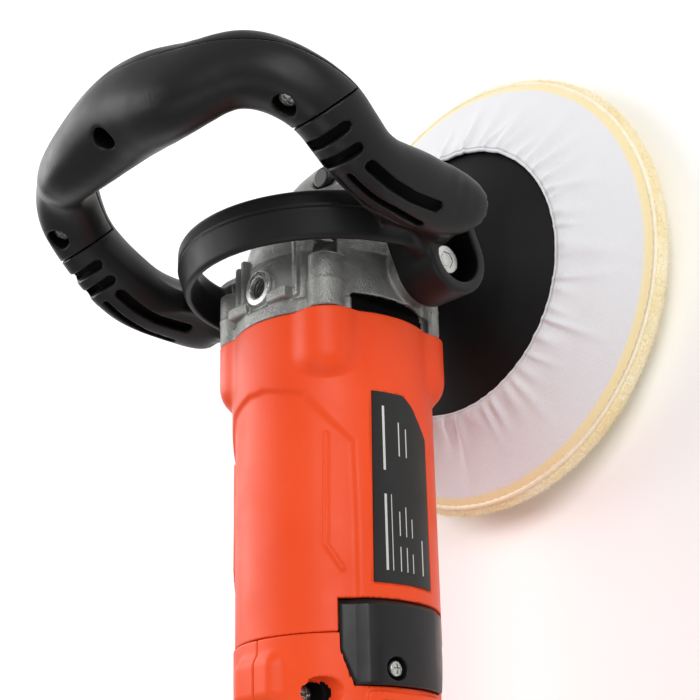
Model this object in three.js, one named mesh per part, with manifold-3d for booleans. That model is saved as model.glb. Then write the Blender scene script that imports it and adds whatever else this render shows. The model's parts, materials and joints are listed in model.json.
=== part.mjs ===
// Rotary polisher with a 180 mm backing pad, a tied wool bonnet and a loop handle.
// Millimetres. +Z points up along the spindle, away from the work. +X points forward, from the rear
// handle to the gear head. +Y is the tool's left. The origin is the centre of the bonnet's working face.
import * as THREE from "three";
import { mergeVertices } from "three/addons/utils/BufferGeometryUtils.js";
import Module from "manifold-3d";

// ---- driving dimensions ----
const AXIS_HEIGHT = 106; // motor axis above the working face
const GAP = 0.3; // clearance between neighbouring pieces
const FACETS = 0.5; // share of the nominal number of sides that round pieces are given
const BONNET_R = 100; // wool edge
const BONNET_MOUTH_R = 61; // opening in the back of the fabric
const PLATE_R = 88; // backing plate
const HOUSING_R = 38.4; // motor housing
const LOBE_R = 44.4; // corner screw tunnels, from the motor axis
const HOUSING_WALL = 3.2;
const FLANGE_X = -47.3; // gear case to motor housing joint
const SEAM_X = -168; // motor housing to rear handle joint
const BORE_X = -32.5; // side handle bore on top of the gear case
const BOLT_X = -26; // loop handle bolts
const BOLT_Z = -10;
const SEAT_Y = 41.7; // gear case face that the loop handle is bolted to
const BOLT_R = 4; // M8
const BAND_RI = 54; // arch band, inside radius
const BAND_RO = 61; // arch band, outside radius
const GEAR_TEETH = 43;
const PINION_TEETH = 8;
const TRIGGER_PIVOT = [-229, -20];
const COVER_SCREW = [-180.8, 7.5]; // x, z
const DIAL = [-318, 17.5];
const LOCK = [18, -12]; // spindle lock pin
const HANDLE_SCREWS = [
  [-188.5, 29],
  [-188.5, -29],
  [-222, 18],
  [-336, -19],
];
// Loop handle centreline and section, from the middle of the grip to the end of the left arm:
// x, y, z, half-thickness front to rear, half-thickness across, turn of the section in degrees.
const LOOP = [
  [22.8, 0.0, 97.9, 20.5, 16.4, -2],
  [21.7, 11.5, 98.1, 20.4, 15.9, -1],
  [19.5, 22.4, 98.4, 20.0, 14.7, 0],
  [18.0, 32.1, 98.1, 19.2, 13.3, 1],
  [18.0, 40.3, 96.7, 17.9, 12.1, 3],
  [18.7, 47.4, 94.3, 16.4, 11.3, 4],
  [18.7, 53.7, 91.3, 14.9, 11.2, 6],
  [17.2, 59.6, 87.7, 13.6, 11.8, 9],
  [14.5, 64.8, 83.5, 12.7, 12.7, 12],
  [11.0, 69.2, 78.5, 12.5, 13.1, 16],
  [7.1, 72.4, 72.7, 12.7, 12.8, 20],
  [2.4, 74.2, 66.2, 12.9, 12.6, 25],
  [-3.3, 74.1, 59.2, 12.5, 13.0, 29],
  [-8.6, 73.5, 51.9, 12.1, 13.6, 31],
  [-12.0, 73.5, 44.4, 12.5, 13.4, 32],
  [-13.6, 73.9, 36.5, 13.2, 12.8, 32],
  [-14.3, 74.1, 28.0, 13.7, 12.3, 32],
  [-14.8, 73.9, 19.3, 13.6, 12.2, 32],
  [-15.2, 75.0, 11.8, 13.6, 11.8, 32],
  [-15.6, 77.0, 6.0, 12.5, 10.2, 32],
  [-16.0, 79.0, 1.5, 9.0, 7.5, 32],
];
const COVER_SEAM = 10.4; // station where the grip cover ends
// Rear handle: x, centre height, half-width, half-height.
const REAR = [
  [-168.3, 0, 38.2, 38.2],
  [-192, 0, 38.0, 38.0],
  [-202, -0.5, 35.5, 36.5],
  [-214, -1.5, 29.5, 33.5],
  [-228, -2.5, 24.5, 30.0],
  [-246, -2, 22.3, 27.5],
  [-270, -0.5, 21.8, 26.2],
  [-300, 0.5, 22.3, 26.3],
  [-325, 0, 24.5, 28.5],
  [-341, -1, 25.5, 30.0],
  [-347, -1, 23.5, 28.0],
  [-350, -1, 19.0, 23.0],
];

const ORANGE = ["#e9542a", 0.42, 0];
const BLACK = ["#26272a", 0.5, 0];
const SOFT_BLACK = ["#101114", 0.75, 0];
const CAST = ["#8f9294", 0.45, 0.9];
const STEEL = ["#b9bcc0", 0.3, 1];
const ZINC = ["#c9cbce", 0.35, 1];
const COPPER = ["#b5653a", 0.4, 0.9];
const CARBON = ["#2c2c2e", 0.8, 0.1];
const BRASS = ["#c2a24a", 0.35, 0.9];
const WOOL = ["#f2efe2", 0.95, 0];
const BOARD = ["#2d6b45", 0.6, 0];

// ---- solids ----
const wasm = await Module();
wasm.setup();

function solid(geometry) {
  const g = geometry.index ? geometry.toNonIndexed() : geometry.clone();
  g.deleteAttribute("normal");
  g.deleteAttribute("uv");
  const merged = mergeVertices(g, 1e-4);
  return new wasm.Manifold(
    new wasm.Mesh({
      numProp: 3,
      vertProperties: merged.attributes.position.array,
      triVerts: new Uint32Array(merged.index.array),
    }),
  );
}
function geometryOf(s) {
  const m = s.getMesh();
  const v = new Float32Array(m.numVert * 3);
  for (let i = 0; i < m.numVert; i++)
    for (let k = 0; k < 3; k++)
      v[3 * i + k] = m.vertProperties[i * m.numProp + k];
  const g = new THREE.BufferGeometry();
  g.setAttribute("position", new THREE.BufferAttribute(v, 3));
  g.setIndex(new THREE.BufferAttribute(new Uint32Array(m.triVerts), 1));
  g.computeVertexNormals();
  return g;
}
const sides = (n) => (n <= 8 ? n : Math.max(8, 2 * Math.round((n * FACETS) / 2)));
const join = (...s) => s.reduce((a, b) => a.add(b));
const cut = (a, ...s) => s.reduce((x, y) => x.subtract(y), a);

function box(x0, x1, y0, y1, z0, z1) {
  const g = new THREE.BoxGeometry(x1 - x0, y1 - y0, z1 - z0);
  g.translate((x0 + x1) / 2, (y0 + y1) / 2, (z0 + z1) / 2);
  return solid(g);
}
function rod(axis, r, a, b, u = 0, v = 0, seg = 24, r2 = r) {
  // a cylinder or cone along x, y or z from a (radius r) to b (radius r2)
  const g = new THREE.CylinderGeometry(r2, r, b - a, sides(seg));
  g.translate(0, (a + b) / 2, 0);
  if (axis === "x") {
    g.rotateZ(-Math.PI / 2);
    g.translate(0, u, v);
  } else if (axis === "y") g.translate(u, 0, v);
  else {
    g.rotateX(Math.PI / 2);
    g.translate(u, v, 0);
  }
  return solid(g);
}
function turned(axis, profile, seg = 32) {
  // profile: [radius, position] pairs that start and end on the axis or close on themselves
  let pts = profile.map(([r, h]) => new THREE.Vector2(r, h));
  const area = pts.reduce((s, p, i) => {
    const q = pts[(i + 1) % pts.length];
    return s + p.x * q.y - q.x * p.y;
  }, 0);
  if (area < 0) pts = pts.reverse();
  const g = new THREE.LatheGeometry(pts, sides(seg));
  if (axis === "x") g.rotateZ(-Math.PI / 2);
  else g.rotateX(Math.PI / 2);
  return solid(g);
}
function ring(axis, ri, ro, a, b, seg = 32, u = 0, v = 0) {
  const s = turned(
    axis,
    [
      [ri, a],
      [ro, a],
      [ro, b],
      [ri, b],
      [ri, a],
    ],
    seg,
  );
  return axis === "x" ? s.translate([0, u, v]) : s.translate([u, v, 0]);
}
function slab(points, a, b, plane) {
  // an outline in the YZ plane pushed along X, in XZ along Y, or in XY along Z
  const shape = new THREE.Shape(points.map(([p, q]) => new THREE.Vector2(p, q)));
  const g = new THREE.ExtrudeGeometry(shape, {
    depth: b - a,
    bevelEnabled: false,
  });
  g.translate(0, 0, a);
  const m = new THREE.Matrix4();
  if (plane === "yz") m.set(0, 0, 1, 0, 1, 0, 0, 0, 0, 1, 0, 0, 0, 0, 0, 1);
  else if (plane === "xz") {
    g.scale(1, 1, -1);
    g.index = null;
    m.set(1, 0, 0, 0, 0, 0, -1, 0, 0, 1, 0, 0, 0, 0, 0, 1);
    const p = g.getAttribute("position").array;
    for (let i = 0; i < p.length; i += 9)
      for (let k = 0; k < 3; k++)
        [p[i + 3 + k], p[i + 6 + k]] = [p[i + 6 + k], p[i + 3 + k]];
  }
  if (plane !== "xy") g.applyMatrix4(m);
  return solid(g);
}
function loft(around, rings, at) {
  // a cylinder's grid of vertices moved onto the sections given by at(t, angle)
  const g = new THREE.CylinderGeometry(1, 1, 1, around, rings);
  const p = g.getAttribute("position");
  const v = new THREE.Vector3();
  for (let i = 0; i < p.count; i++) {
    v.fromBufferAttribute(p, i);
    const t = Math.round((v.y + 0.5) * rings) / rings;
    const r = Math.hypot(v.x, v.z);
    const q = at(t, Math.atan2(v.z, v.x), r < 0.5 ? 0 : 1);
    p.setXYZ(i, q.x, q.y, q.z);
  }
  const s = solid(g);
  return s;
}
const sq = (c, e) => Math.sign(c) * Math.abs(c) ** (2 / e);

// ---- the model ----
const group = new THREE.Group();
const tool = new THREE.Group(); // origin on the motor axis, straight above the pad centre
tool.position.z = AXIS_HEIGHT;
group.add(tool);
function part(name, s, [color, roughness, metalness]) {
  const mesh = new THREE.Mesh(
    geometryOf(s),
    new THREE.MeshStandardMaterial({ color, roughness, metalness }),
  );
  mesh.name = name;
  tool.add(mesh);
}
const corners = [45, 135, 225, 315].map((d) => (d * Math.PI) / 180);

// --- pad and spindle ---
part(
  "wool_bonnet",
  turned(
    "z",
    [
      [0, -AXIS_HEIGHT],
      [84, -AXIS_HEIGHT],
      [90, -103.5],
      [95, -98.5],
      [99, -94.5],
      [BONNET_R, -92],
      [99.5, -90],
      [97.5, -88.5],
      [92.5, -86.2],
      [78, -79.3],
      [BONNET_MOUTH_R, -70.8],
      [BONNET_MOUTH_R - 0.6, -72.4],
      [78, -81.2],
      [PLATE_R + GAP + 0.2, -87.2],
      [PLATE_R + GAP + 0.2, -93.4],
      [0, -93.4],
    ],
    48,
  ),
  WOOL,
);
part(
  "backing_plate",
  cut(
    turned(
      "z",
      [
        [0, -93],
        [PLATE_R - 1.5, -93],
        [PLATE_R, -91.5],
        [PLATE_R, -88],
        [77, -82],
        [60, -73.4],
        [40, -64],
        [24, -57.5],
        [19, -55.5],
        [17, -52],
        [0, -52],
      ],
      48,
    ),
    rod("z", 7.6, -78, -51, 0, 0, 24),
  ),
  SOFT_BLACK,
);
part(
  "spindle",
  turned(
    "z",
    [
      [0, -76],
      [6, -76],
      [6.8, -75],
      [6.8, -51.7],
      [10, -51.7],
      [10, -47.6],
      [7.4, -47.6],
      [7.4, 8.8],
      [4.9, 8.8],
      [4.9, 15.2],
      [0, 15.2],
    ],
    24,
  ),
  STEEL,
);
{
  // crown gear: a hub, a web and a toothed rim below the pinion
  const rim = [];
  for (let i = 0; i < GEAR_TEETH; i++)
    for (const [f, r] of [
      [-0.25, 24.6],
      [0.25, 26.5],
    ]) {
      const a = ((i + f) / GEAR_TEETH) * 2 * Math.PI;
      rim.push([r * Math.cos(a), r * Math.sin(a)]);
    }
  const g = cut(
    join(rod("z", 13, -27, -9.6, 0, 0, 32), slab(rim, -18, -10.2, "xy")),
    rod("z", 7.7, -30, 0, 0, 0, 24),
  );
  part("crown_gear", g, STEEL);
}
part("spindle_lower_bearing", ring("z", 7.6, 17.4, -42.5, -31.5), STEEL);
part("spindle_upper_bearing", ring("z", 5.2, 9.5, 9.5, 15.5, 24), STEEL);
part("spindle_felt_seal", ring("z", 7.7, 10.6, -46.6, -43.8, 24), CARBON);
part(
  "spindle_bearing_cover",
  cut(
    turned(
      "z",
      [
        [11, -47],
        [20, -47],
        [22, -45],
        [22.5, -36],
        [33.5, -33.5],
        [33.5, -28.3],
        [17.7, -28.3],
        [17.7, -43],
        [11, -43],
        [11, -47],
      ],
      32,
    ),
    ...corners.map((a) =>
      rod("z", 2.4, -40, -25, 28.6 * Math.cos(a), 28.6 * Math.sin(a), 12),
    ),
  ),
  CAST,
);
corners.forEach((a, i) =>
  part(
    "cover_screw_" + (i + 1),
    join(
      rod("z", 2, -37, -19, 28.6 * Math.cos(a), 28.6 * Math.sin(a), 12),
      rod("z", 3.8, -39.6, -36, 28.6 * Math.cos(a), 28.6 * Math.sin(a), 16),
    ),
    ZINC,
  ),
);

// --- gear case ---
{
  const lobes = corners.map((a) =>
    rod("x", 7, FLANGE_X, -35, 37.2 * Math.cos(a), 37.2 * Math.sin(a), 16),
  );
  let s = join(
    rod("x", HOUSING_R, FLANGE_X, -42, 0, 0, 40),
    rod("x", 36.7, -43, -22, 0, 0, 40, 36),
    rod("x", 36, -22.2, -4, 0, 0, 40, 31),
    turned(
      "z",
      [
        [0, -28],
        [34, -28],
        [34, -1],
        [31, 3.5],
        [26, 8.5],
        [19, 14.5],
        [13, 18.5],
        [0, 18.5],
      ],
      40,
    ),
    ...lobes,
    rod("y", 13, -SEAT_Y, SEAT_Y, BOLT_X, BOLT_Z, 32), // loop handle seats
    rod("z", 8.2, 20, 37.8, BORE_X, 0, 24), // side handle boss
    rod("z", 7, -4, 11.8, ...LOCK, 24), // spindle lock boss
  );
  for (const y of [-24, -17, 11, 18, 25])
    s = s.add(box(-40, -17, y - 1.2, y + 1.2, 20, Math.sqrt(1450 - y * y)));
  s = cut(
    s,
    box(-60, 50, -60, 60, -60, -28), // flat underside
    cut(
      join(
        turned(
          "z",
          [
            [0, -29],
            [30.5, -29],
            [30.5, -2.5],
            [22.5, 5.5],
            [17, 9.2],
            [0, 9.2],
          ],
          40,
        ),
        rod("x", 30.5, -36, -8, 0, 0, 40, 26).intersect(box(-40, 0, -40, 40, -27.9, 40)),
      ),
      rod("z", 6.9, -4.1, 30, ...LOCK, 24),
    ), // gear chamber
    rod("z", 9.8, 9, 15.9, 0, 0, 24), // upper bearing seat
    rod("x", 16.3, -44.5, -37, 0, 0, 32), // front armature bearing seat
    rod("x", 9, -38, -35, 0, 0, 24),
    rod("x", 34, FLANGE_X - 1, -44.2, 0, 0, 40), // fan recess
    box(-48, -43.2, 30, 50, -21, 21), // air outlets
    box(-48, -43.2, -50, -30, -21, 21),
    rod("y", BOLT_R + 0.4, -50, -31.8, BOLT_X, BOLT_Z, 20),
    rod("y", BOLT_R + 0.4, 31.8, 50, BOLT_X, BOLT_Z, 20),
    rod("z", 3.7, 31.6, 40, BORE_X, 0, 20), // side handle bore
    rod("z", 5.2, 1.5, 30, ...LOCK, 24), // spindle lock well
    rod("z", 2.5, -6, 2, ...LOCK, 16),
    ...corners.map((a) =>
      rod("x", 2.8, -60, -30, 38 * Math.cos(a), 38 * Math.sin(a), 14),
    ),
    ...corners.map((a) =>
      rod("x", 5, -34.8, -18, 38 * Math.cos(a), 38 * Math.sin(a), 16),
    ),
    ...corners.map((a) =>
      rod("z", 2.3, -30, -18.5, 28.6 * Math.cos(a), 28.6 * Math.sin(a), 12),
    ),
  );
  part("gear_case", s, CAST);
}
corners.forEach((a, i) => {
  const y = 38 * Math.cos(a),
    z = 38 * Math.sin(a);
  part(
    "gear_case_screw_" + (i + 1),
    join(rod("x", 2.4, -65, -33, y, z, 12), rod("x", 4.2, -34.7, -30.5, y, z, 16)),
    ZINC,
  );
});
part(
  "spindle_lock_button",
  join(
    rod("z", 4.6, 8.5, 14, ...LOCK, 24),
    rod("z", 4.6, 14, 15, ...LOCK, 24, 3.8),
    rod("z", 1.9, -5.5, 9, ...LOCK, 16),
  ),
  BLACK,
);
{
  const turns = 3,
    steps = 30,
    pts = [];
  for (let i = 0; i <= steps; i++) {
    const a = (i / steps) * turns * 2 * Math.PI;
    pts.push(
      new THREE.Vector3(
        LOCK[0] + 3.3 * Math.cos(a),
        LOCK[1] + 3.3 * Math.sin(a),
        2.4 + (5.2 * i) / steps,
      ),
    );
  }
  const wire = new THREE.Shape(
    [0, 1, 2, 3, 4, 5].map(
      (k) =>
        new THREE.Vector2(
          0.45 * Math.cos((k * Math.PI) / 3),
          0.45 * Math.sin((k * Math.PI) / 3),
        ),
    ),
  );
  part(
    "spindle_lock_spring",
    solid(
      new THREE.ExtrudeGeometry(wire, {
        steps,
        extrudePath: new THREE.CatmullRomCurve3(pts),
        bevelEnabled: false,
      }),
    ),
    STEEL,
  );
}

// --- motor housing and motor ---
{
  const lobe = (grow) =>
    corners.map((a) => {
      const y = 37.4 * Math.cos(a),
        z = 37.4 * Math.sin(a);
      return join(
        rod("x", 7 + grow, -68, FLANGE_X - GAP, y, z, 20),
        rod("x", 3, -76, -68, y * 0.9, z * 0.9, 20, 7 + grow),
      );
    });
  const shell = join(rod("x", HOUSING_R, SEAM_X, FLANGE_X - GAP, 0, 0, 48), ...lobe(0));
  const window_ = (s) =>
    box(-190, -155.9, s > 0 ? 22 : -45, s > 0 ? 45 : -22, -24.8, 24.8);
  part(
    "motor_housing",
    cut(
      shell,
      rod("x", HOUSING_R - HOUSING_WALL, SEAM_X - 1, -40, 0, 0, 40),
      window_(1),
      window_(-1),
      ...corners.map((a) =>
        rod("x", 2.7, -66.5, -40, 38 * Math.cos(a), 38 * Math.sin(a), 14),
      ),
    ),
    ORANGE,
  );
  for (const [s, side] of [
    [1, "left"],
    [-1, "right"],
  ]) {
    const shellPiece = ring("x", 35.7, 39.5, -190, -150, 48).intersect(
      slab(
        [
          [-156.3, 24.4],
          [-156.3, -24.4],
          [-173, -24.4],
          [-186.6, -20],
          [-186.6, 20],
          [-173, 24.4],
        ],
        s > 0 ? 20 : -45,
        s > 0 ? 45 : -20,
        "xz",
      ),
    );
    part(
      "brush_cover_" + side,
      cut(
        shellPiece,
        s > 0
          ? rod("y", 2.1, 30, 45, ...COVER_SCREW, 12)
          : rod("y", 2.1, -45, -30, ...COVER_SCREW, 12),
        s > 0
          ? rod("y", 4, 37.4, 45, ...COVER_SCREW, 16)
          : rod("y", 4, -45, -37.4, ...COVER_SCREW, 16),
      ),
      BLACK,
    );
    part(
      "brush_cover_screw_" + side,
      s > 0
        ? join(rod("y", 1.7, 27, 38.5, ...COVER_SCREW, 12), rod("y", 3.4, 37.7, 39, ...COVER_SCREW, 16))
        : join(rod("y", 1.7, -38.5, -27, ...COVER_SCREW, 12), rod("y", 3.4, -39, -37.7, ...COVER_SCREW, 16)),
      ZINC,
    );
    const y0 = s > 0 ? 15.6 : -32,
      y1 = s > 0 ? 32 : -15.6;
    part(
      "brush_holder_" + side,
      cut(box(-166.5, -153.5, y0, y1, -6, 6), box(-163.5, -156.5, -40, 40, -4.3, 4.3)),
      BRASS,
    );
    part(
      "carbon_brush_" + side,
      s > 0 ? box(-163.2, -156.8, 14.9, 28, -4, 4) : box(-163.2, -156.8, -28, -14.9, -4, 4),
      CARBON,
    );
  }
  part(
    "rating_label",
    ring("x", 38.65, 39.05, -157, -80, 96).intersect(
      slab(
        [
          [-79, 13.5],
          [-79, 0],
          [-82.5, -4.8],
          [-93.2, -13],
          [-150.5, -13],
          [-150.5, 14.5],
        ],
        -45,
        -30,
        "xz",
      ),
    ),
    BLACK,
  );
}
part(
  "armature_shaft",
  turned(
    "x",
    [
      [0, -186],
      [4.9, -186],
      [4.9, -176],
      [6.9, -176],
      [6.9, -47.5],
      [5.9, -47.5],
      [5.9, -32],
      [3.9, -32],
      [3.9, -11],
      [0, -11],
    ],
    20,
  ),
  STEEL,
);
{
  // bevel pinion: a toothed outline that tapers towards the spindle
  const pts = [];
  for (let i = 0; i < PINION_TEETH; i++)
    for (const [f, r] of [
      [-0.5, 6.4],
      [-0.2, 9],
      [0.2, 9],
      [0.5 - 1e-3, 6.4],
    ]) {
      const a = ((i + f) / PINION_TEETH) * 2 * Math.PI;
      pts.push([r * Math.cos(a), r * Math.sin(a)]);
    }
  let s = slab(pts, 0, 15, "yz");
  s = s.warp((v) => {
    const k = 1 - (0.36 * v[0]) / 15;
    v[1] *= k;
    v[2] *= k;
  });
  part("bevel_pinion", cut(s.translate([-27.5, 0, 0]), rod("x", 4.1, -40, 0, 0, 0, 20)), STEEL);
}
part("armature_front_bearing", ring("x", 6.1, 16, -43.8, -37.4), STEEL);
part("armature_rear_bearing", ring("x", 5.1, 13, -184.5, -176.5), STEEL);
part("armature_core", cut(rod("x", 21, -133, -85, 0, 0, 32), rod("x", 7.1, -140, -80, 0, 0, 20)), CAST);
part("armature_winding_front", turned("x", [[7.2, -84.7], [20, -84.7], [18, -77], [12, -73], [7.2, -73], [7.2, -84.7]], 24), COPPER);
part("armature_winding_rear", turned("x", [[7.2, -133.3], [20, -133.3], [18, -141], [12, -146], [7.2, -146], [7.2, -133.3]], 24), COPPER);
part("commutator", ring("x", 7.2, 14.5, -170, -148, 24), COPPER);
{
  const blades = [];
  for (let i = 0; i < 12; i++) {
    const b = new THREE.BoxGeometry(9, 18, 1.6);
    b.translate(-57.5, 21, 0);
    b.rotateX((i / 12) * 2 * Math.PI);
    blades.push(solid(b));
  }
  part(
    "cooling_fan",
    cut(
      join(rod("x", 31, -65, -61.5, 0, 0, 32), rod("x", 13, -62, -53, 0, 0, 24), ...blades),
      rod("x", 7.1, -80, -40, 0, 0, 20),
    ),
    BLACK,
  );
}
{
  const wedge = (half, x0, x1, up) => {
    const k = Math.tan((half * Math.PI) / 180) * 40,
      z = up * 40;
    const pts = up > 0 ? [[0, 0], [k, z], [-k, z]] : [[0, 0], [-k, z], [k, z]];
    return slab(pts, x0, x1, "yz");
  };
  const poles = ring("x", 22, 30, -133, -85, 40).intersect(
    join(wedge(44, -134, -84, 1), wedge(44, -134, -84, -1)),
  );
  part("stator_core", join(ring("x", 29.4, 34.8, -133, -85, 40), poles), CAST);
  for (const [up, name] of [
    [1, "field_coil_upper"],
    [-1, "field_coil_lower"],
  ]) {
    const half = up > 0 ? box(-150, -70, -40, 40, 0.4, 40) : box(-150, -70, -40, 40, -40, -0.4);
    part(
      name,
      cut(ring("x", 22.6, 28.9, -141, -77, 40).intersect(half), wedge(47, -133.6, -84.4, up)),
      COPPER,
    );
  }
}

// --- loop handle ---
const loopAt = (s) => {
  // s runs from -20 (end of the right arm) through 0 (middle of the grip) to 20 (end of the left arm)
  const a = Math.abs(s),
    i = Math.min(19, Math.floor(a)),
    f = a - i;
  const v = LOOP[i].map((p, k) => p + f * (LOOP[i + 1][k] - p));
  if (s < 0) v[1] = -v[1];
  return v;
};
function loopSolid(shrink, s0, s1, around, rings) {
  return loft(around, rings, (t, angle, r) => {
    const s = s1 + (s0 - s1) * t;
    const v = loopAt(s),
      side = s < 0 ? -1 : 1,
      u = loopAt(Math.min(s + 0.7, 20)),
      w = loopAt(Math.max(s - 0.7, -20));
    const T = new THREE.Vector3(u[0] - w[0], u[1] - w[1], u[2] - w[2]).normalize();
    let k = Math.min(1, Math.max(0, (Math.abs(s) / 20 - 0.35) / 0.3));
    k = k * k * (3 - 2 * k);
    const N = new THREE.Vector3(-0.896 * (1 - k) - k, 0, 0.445 * (1 - k));
    N.addScaledVector(T, -N.dot(T)).normalize();
    const O = new THREE.Vector3().crossVectors(T, N);
    const turn = (v[5] * Math.PI * side) / 180;
    const A = N.clone().multiplyScalar(Math.cos(turn)).addScaledVector(O, -Math.sin(turn));
    const B = N.clone().multiplyScalar(Math.sin(turn)).addScaledVector(O, Math.cos(turn));
    const P = new THREE.Vector3(v[0], v[1], v[2]);
    return P.addScaledVector(A, r * (v[3] - shrink) * sq(Math.cos(angle), 2.4)).addScaledVector(
      B,
      r * (v[4] - shrink) * sq(Math.sin(angle), 2.4),
    );
  });
}
{
  let loop = loopSolid(0, -20, 20, 14, 28);
  if (loop.volume() < 0) throw new Error("loop inside out");
  const arc = [];
  for (let i = 0; i <= 20; i++) {
    const a = ((-6 + (192 * i) / 20) * Math.PI) / 180;
    arc.push([BAND_RO * Math.cos(a), BAND_RO * Math.sin(a)]);
  }
  for (let i = 20; i >= 0; i--) {
    const a = ((-6 + (192 * i) / 20) * Math.PI) / 180;
    arc.push([BAND_RI * Math.cos(a), BAND_RI * Math.sin(a)]);
  }
  const band = slab(arc, -27, -8, "yz");
  const lugs = [1, -1].flatMap((s) => {
    const y = (a, b) => (s > 0 ? [a, b] : [-b, -a]);
    return [
      rod("y", 16.2, ...y(SEAT_Y + GAP, 58), BOLT_X, BOLT_Z, 28),
      box(BOLT_X, -14, ...y(50, 72), -12, 8),
      rod("y", 11, ...y(50, 74), -18, -3, 24),
    ];
  });
  let body = join(loop, band, ...lugs);
  const recess = [1, -1].flatMap((s) => {
    const y = (a, b) => (s > 0 ? [a, b] : [-b, -a]);
    return [rod("y", 11.5, ...y(50, 100), BOLT_X, BOLT_Z, 28), rod("y", BOLT_R + 0.4, ...y(30, 60), BOLT_X, BOLT_Z, 20)];
  });
  body = cut(body, ...recess, box(-60, -41.8, -45, 45, -30, 30)); // clears the flange
  // the grip cover is the rear half of the grip, between two seams
  const c = LOOP[0];
  const normal = new THREE.Vector3(-0.896, 0, 0.445);
  const zone = (gap) => {
    const g = new THREE.BoxGeometry(100, 170, 70); // rear half-space of the loop plane
    g.translate(0, 0, 35 - 5 + gap);
    g.applyMatrix4(
      new THREE.Matrix4().makeBasis(
        new THREE.Vector3(0.445, 0, 0.896),
        new THREE.Vector3(0, -1, 0).multiplyScalar(-1),
        normal,
      ),
    );
    g.translate(c[0] - 4, 0, c[2] - 2);
    const keep = new THREE.BoxGeometry(200, 200, 90);
    keep.translate(0, 0, 45 + gap);
    keep.rotateY(Math.PI / 4); // seams run square to the arms
    keep.translate(3.5, 0, 67.5);
    let s = solid(g);
    if (s.volume() < 0) throw new Error("zone inside out");
    return s.intersect(solid(keep));
  };
  const hollow = loopSolid(3.2, -COVER_SEAM + 0.2, COVER_SEAM - 0.2, 8, 12);
  const SCREWS = [
    [10.4, 0, 108.4],
    [-1.5, 70.8, 84.4],
    [-1.5, -70.8, 84.4],
  ];
  const along = (p, r, a, b, seg) => {
    const g = new THREE.CylinderGeometry(r, r, b - a, sides(seg));
    g.translate(0, (a + b) / 2, 0);
    g.rotateX(Math.PI / 2);
    g.applyMatrix4(
      new THREE.Matrix4().makeBasis(new THREE.Vector3(0.445, 0, 0.896), new THREE.Vector3(0, 1, 0), normal),
    );
    g.translate(...p);
    let s = solid(g);
    return s;
  };
  const pegs = SCREWS.map((p) => along(p, 5, -34, 0, 14).intersect(loop));
  let cover = loop.intersect(zone(GAP / 2));
  cover = join(cut(cover, hollow), ...pegs.map((p) => p.intersect(zone(GAP / 2))));
  cover = cut(cover, ...SCREWS.map((p) => along(p, 3.8, -9.4, 30, 16)), ...SCREWS.map((p) => along(p, 1.9, -40, 0, 10)));
  part("loop_handle_cover", cover, BLACK);
  let frame = cut(body, zone(-GAP / 2));
  frame = join(cut(frame, hollow), ...pegs.map((p) => cut(p, zone(-GAP / 2))));
  frame = cut(frame, ...SCREWS.map((p) => along(p, 1.9, -24, 0, 10)));
  part("loop_handle_body", frame, BLACK);
  SCREWS.forEach((p, i) =>
    part(
      "grip_screw_" + ["centre", "left", "right"][i],
      join(along(p, 1.6, -22, -8.5, 10), along(p, 3.4, -9, -7.3, 14)),
      ZINC,
    ),
  );
}
for (const [s, side] of [
  [1, "left"],
  [-1, "right"],
]) {
  const y = (a, b) => (s > 0 ? [a, b] : [-b, -a]);
  part(
    "loop_handle_bolt_" + side,
    join(
      rod("y", BOLT_R, ...y(32.2, 52), BOLT_X, BOLT_Z, 20),
      cut(rod("y", 6.4, ...y(50.3, 56), BOLT_X, BOLT_Z, 20), rod("y", 3.2, ...y(53, 70), BOLT_X, BOLT_Z, 6)),
    ),
    ZINC,
  );
}

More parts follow.
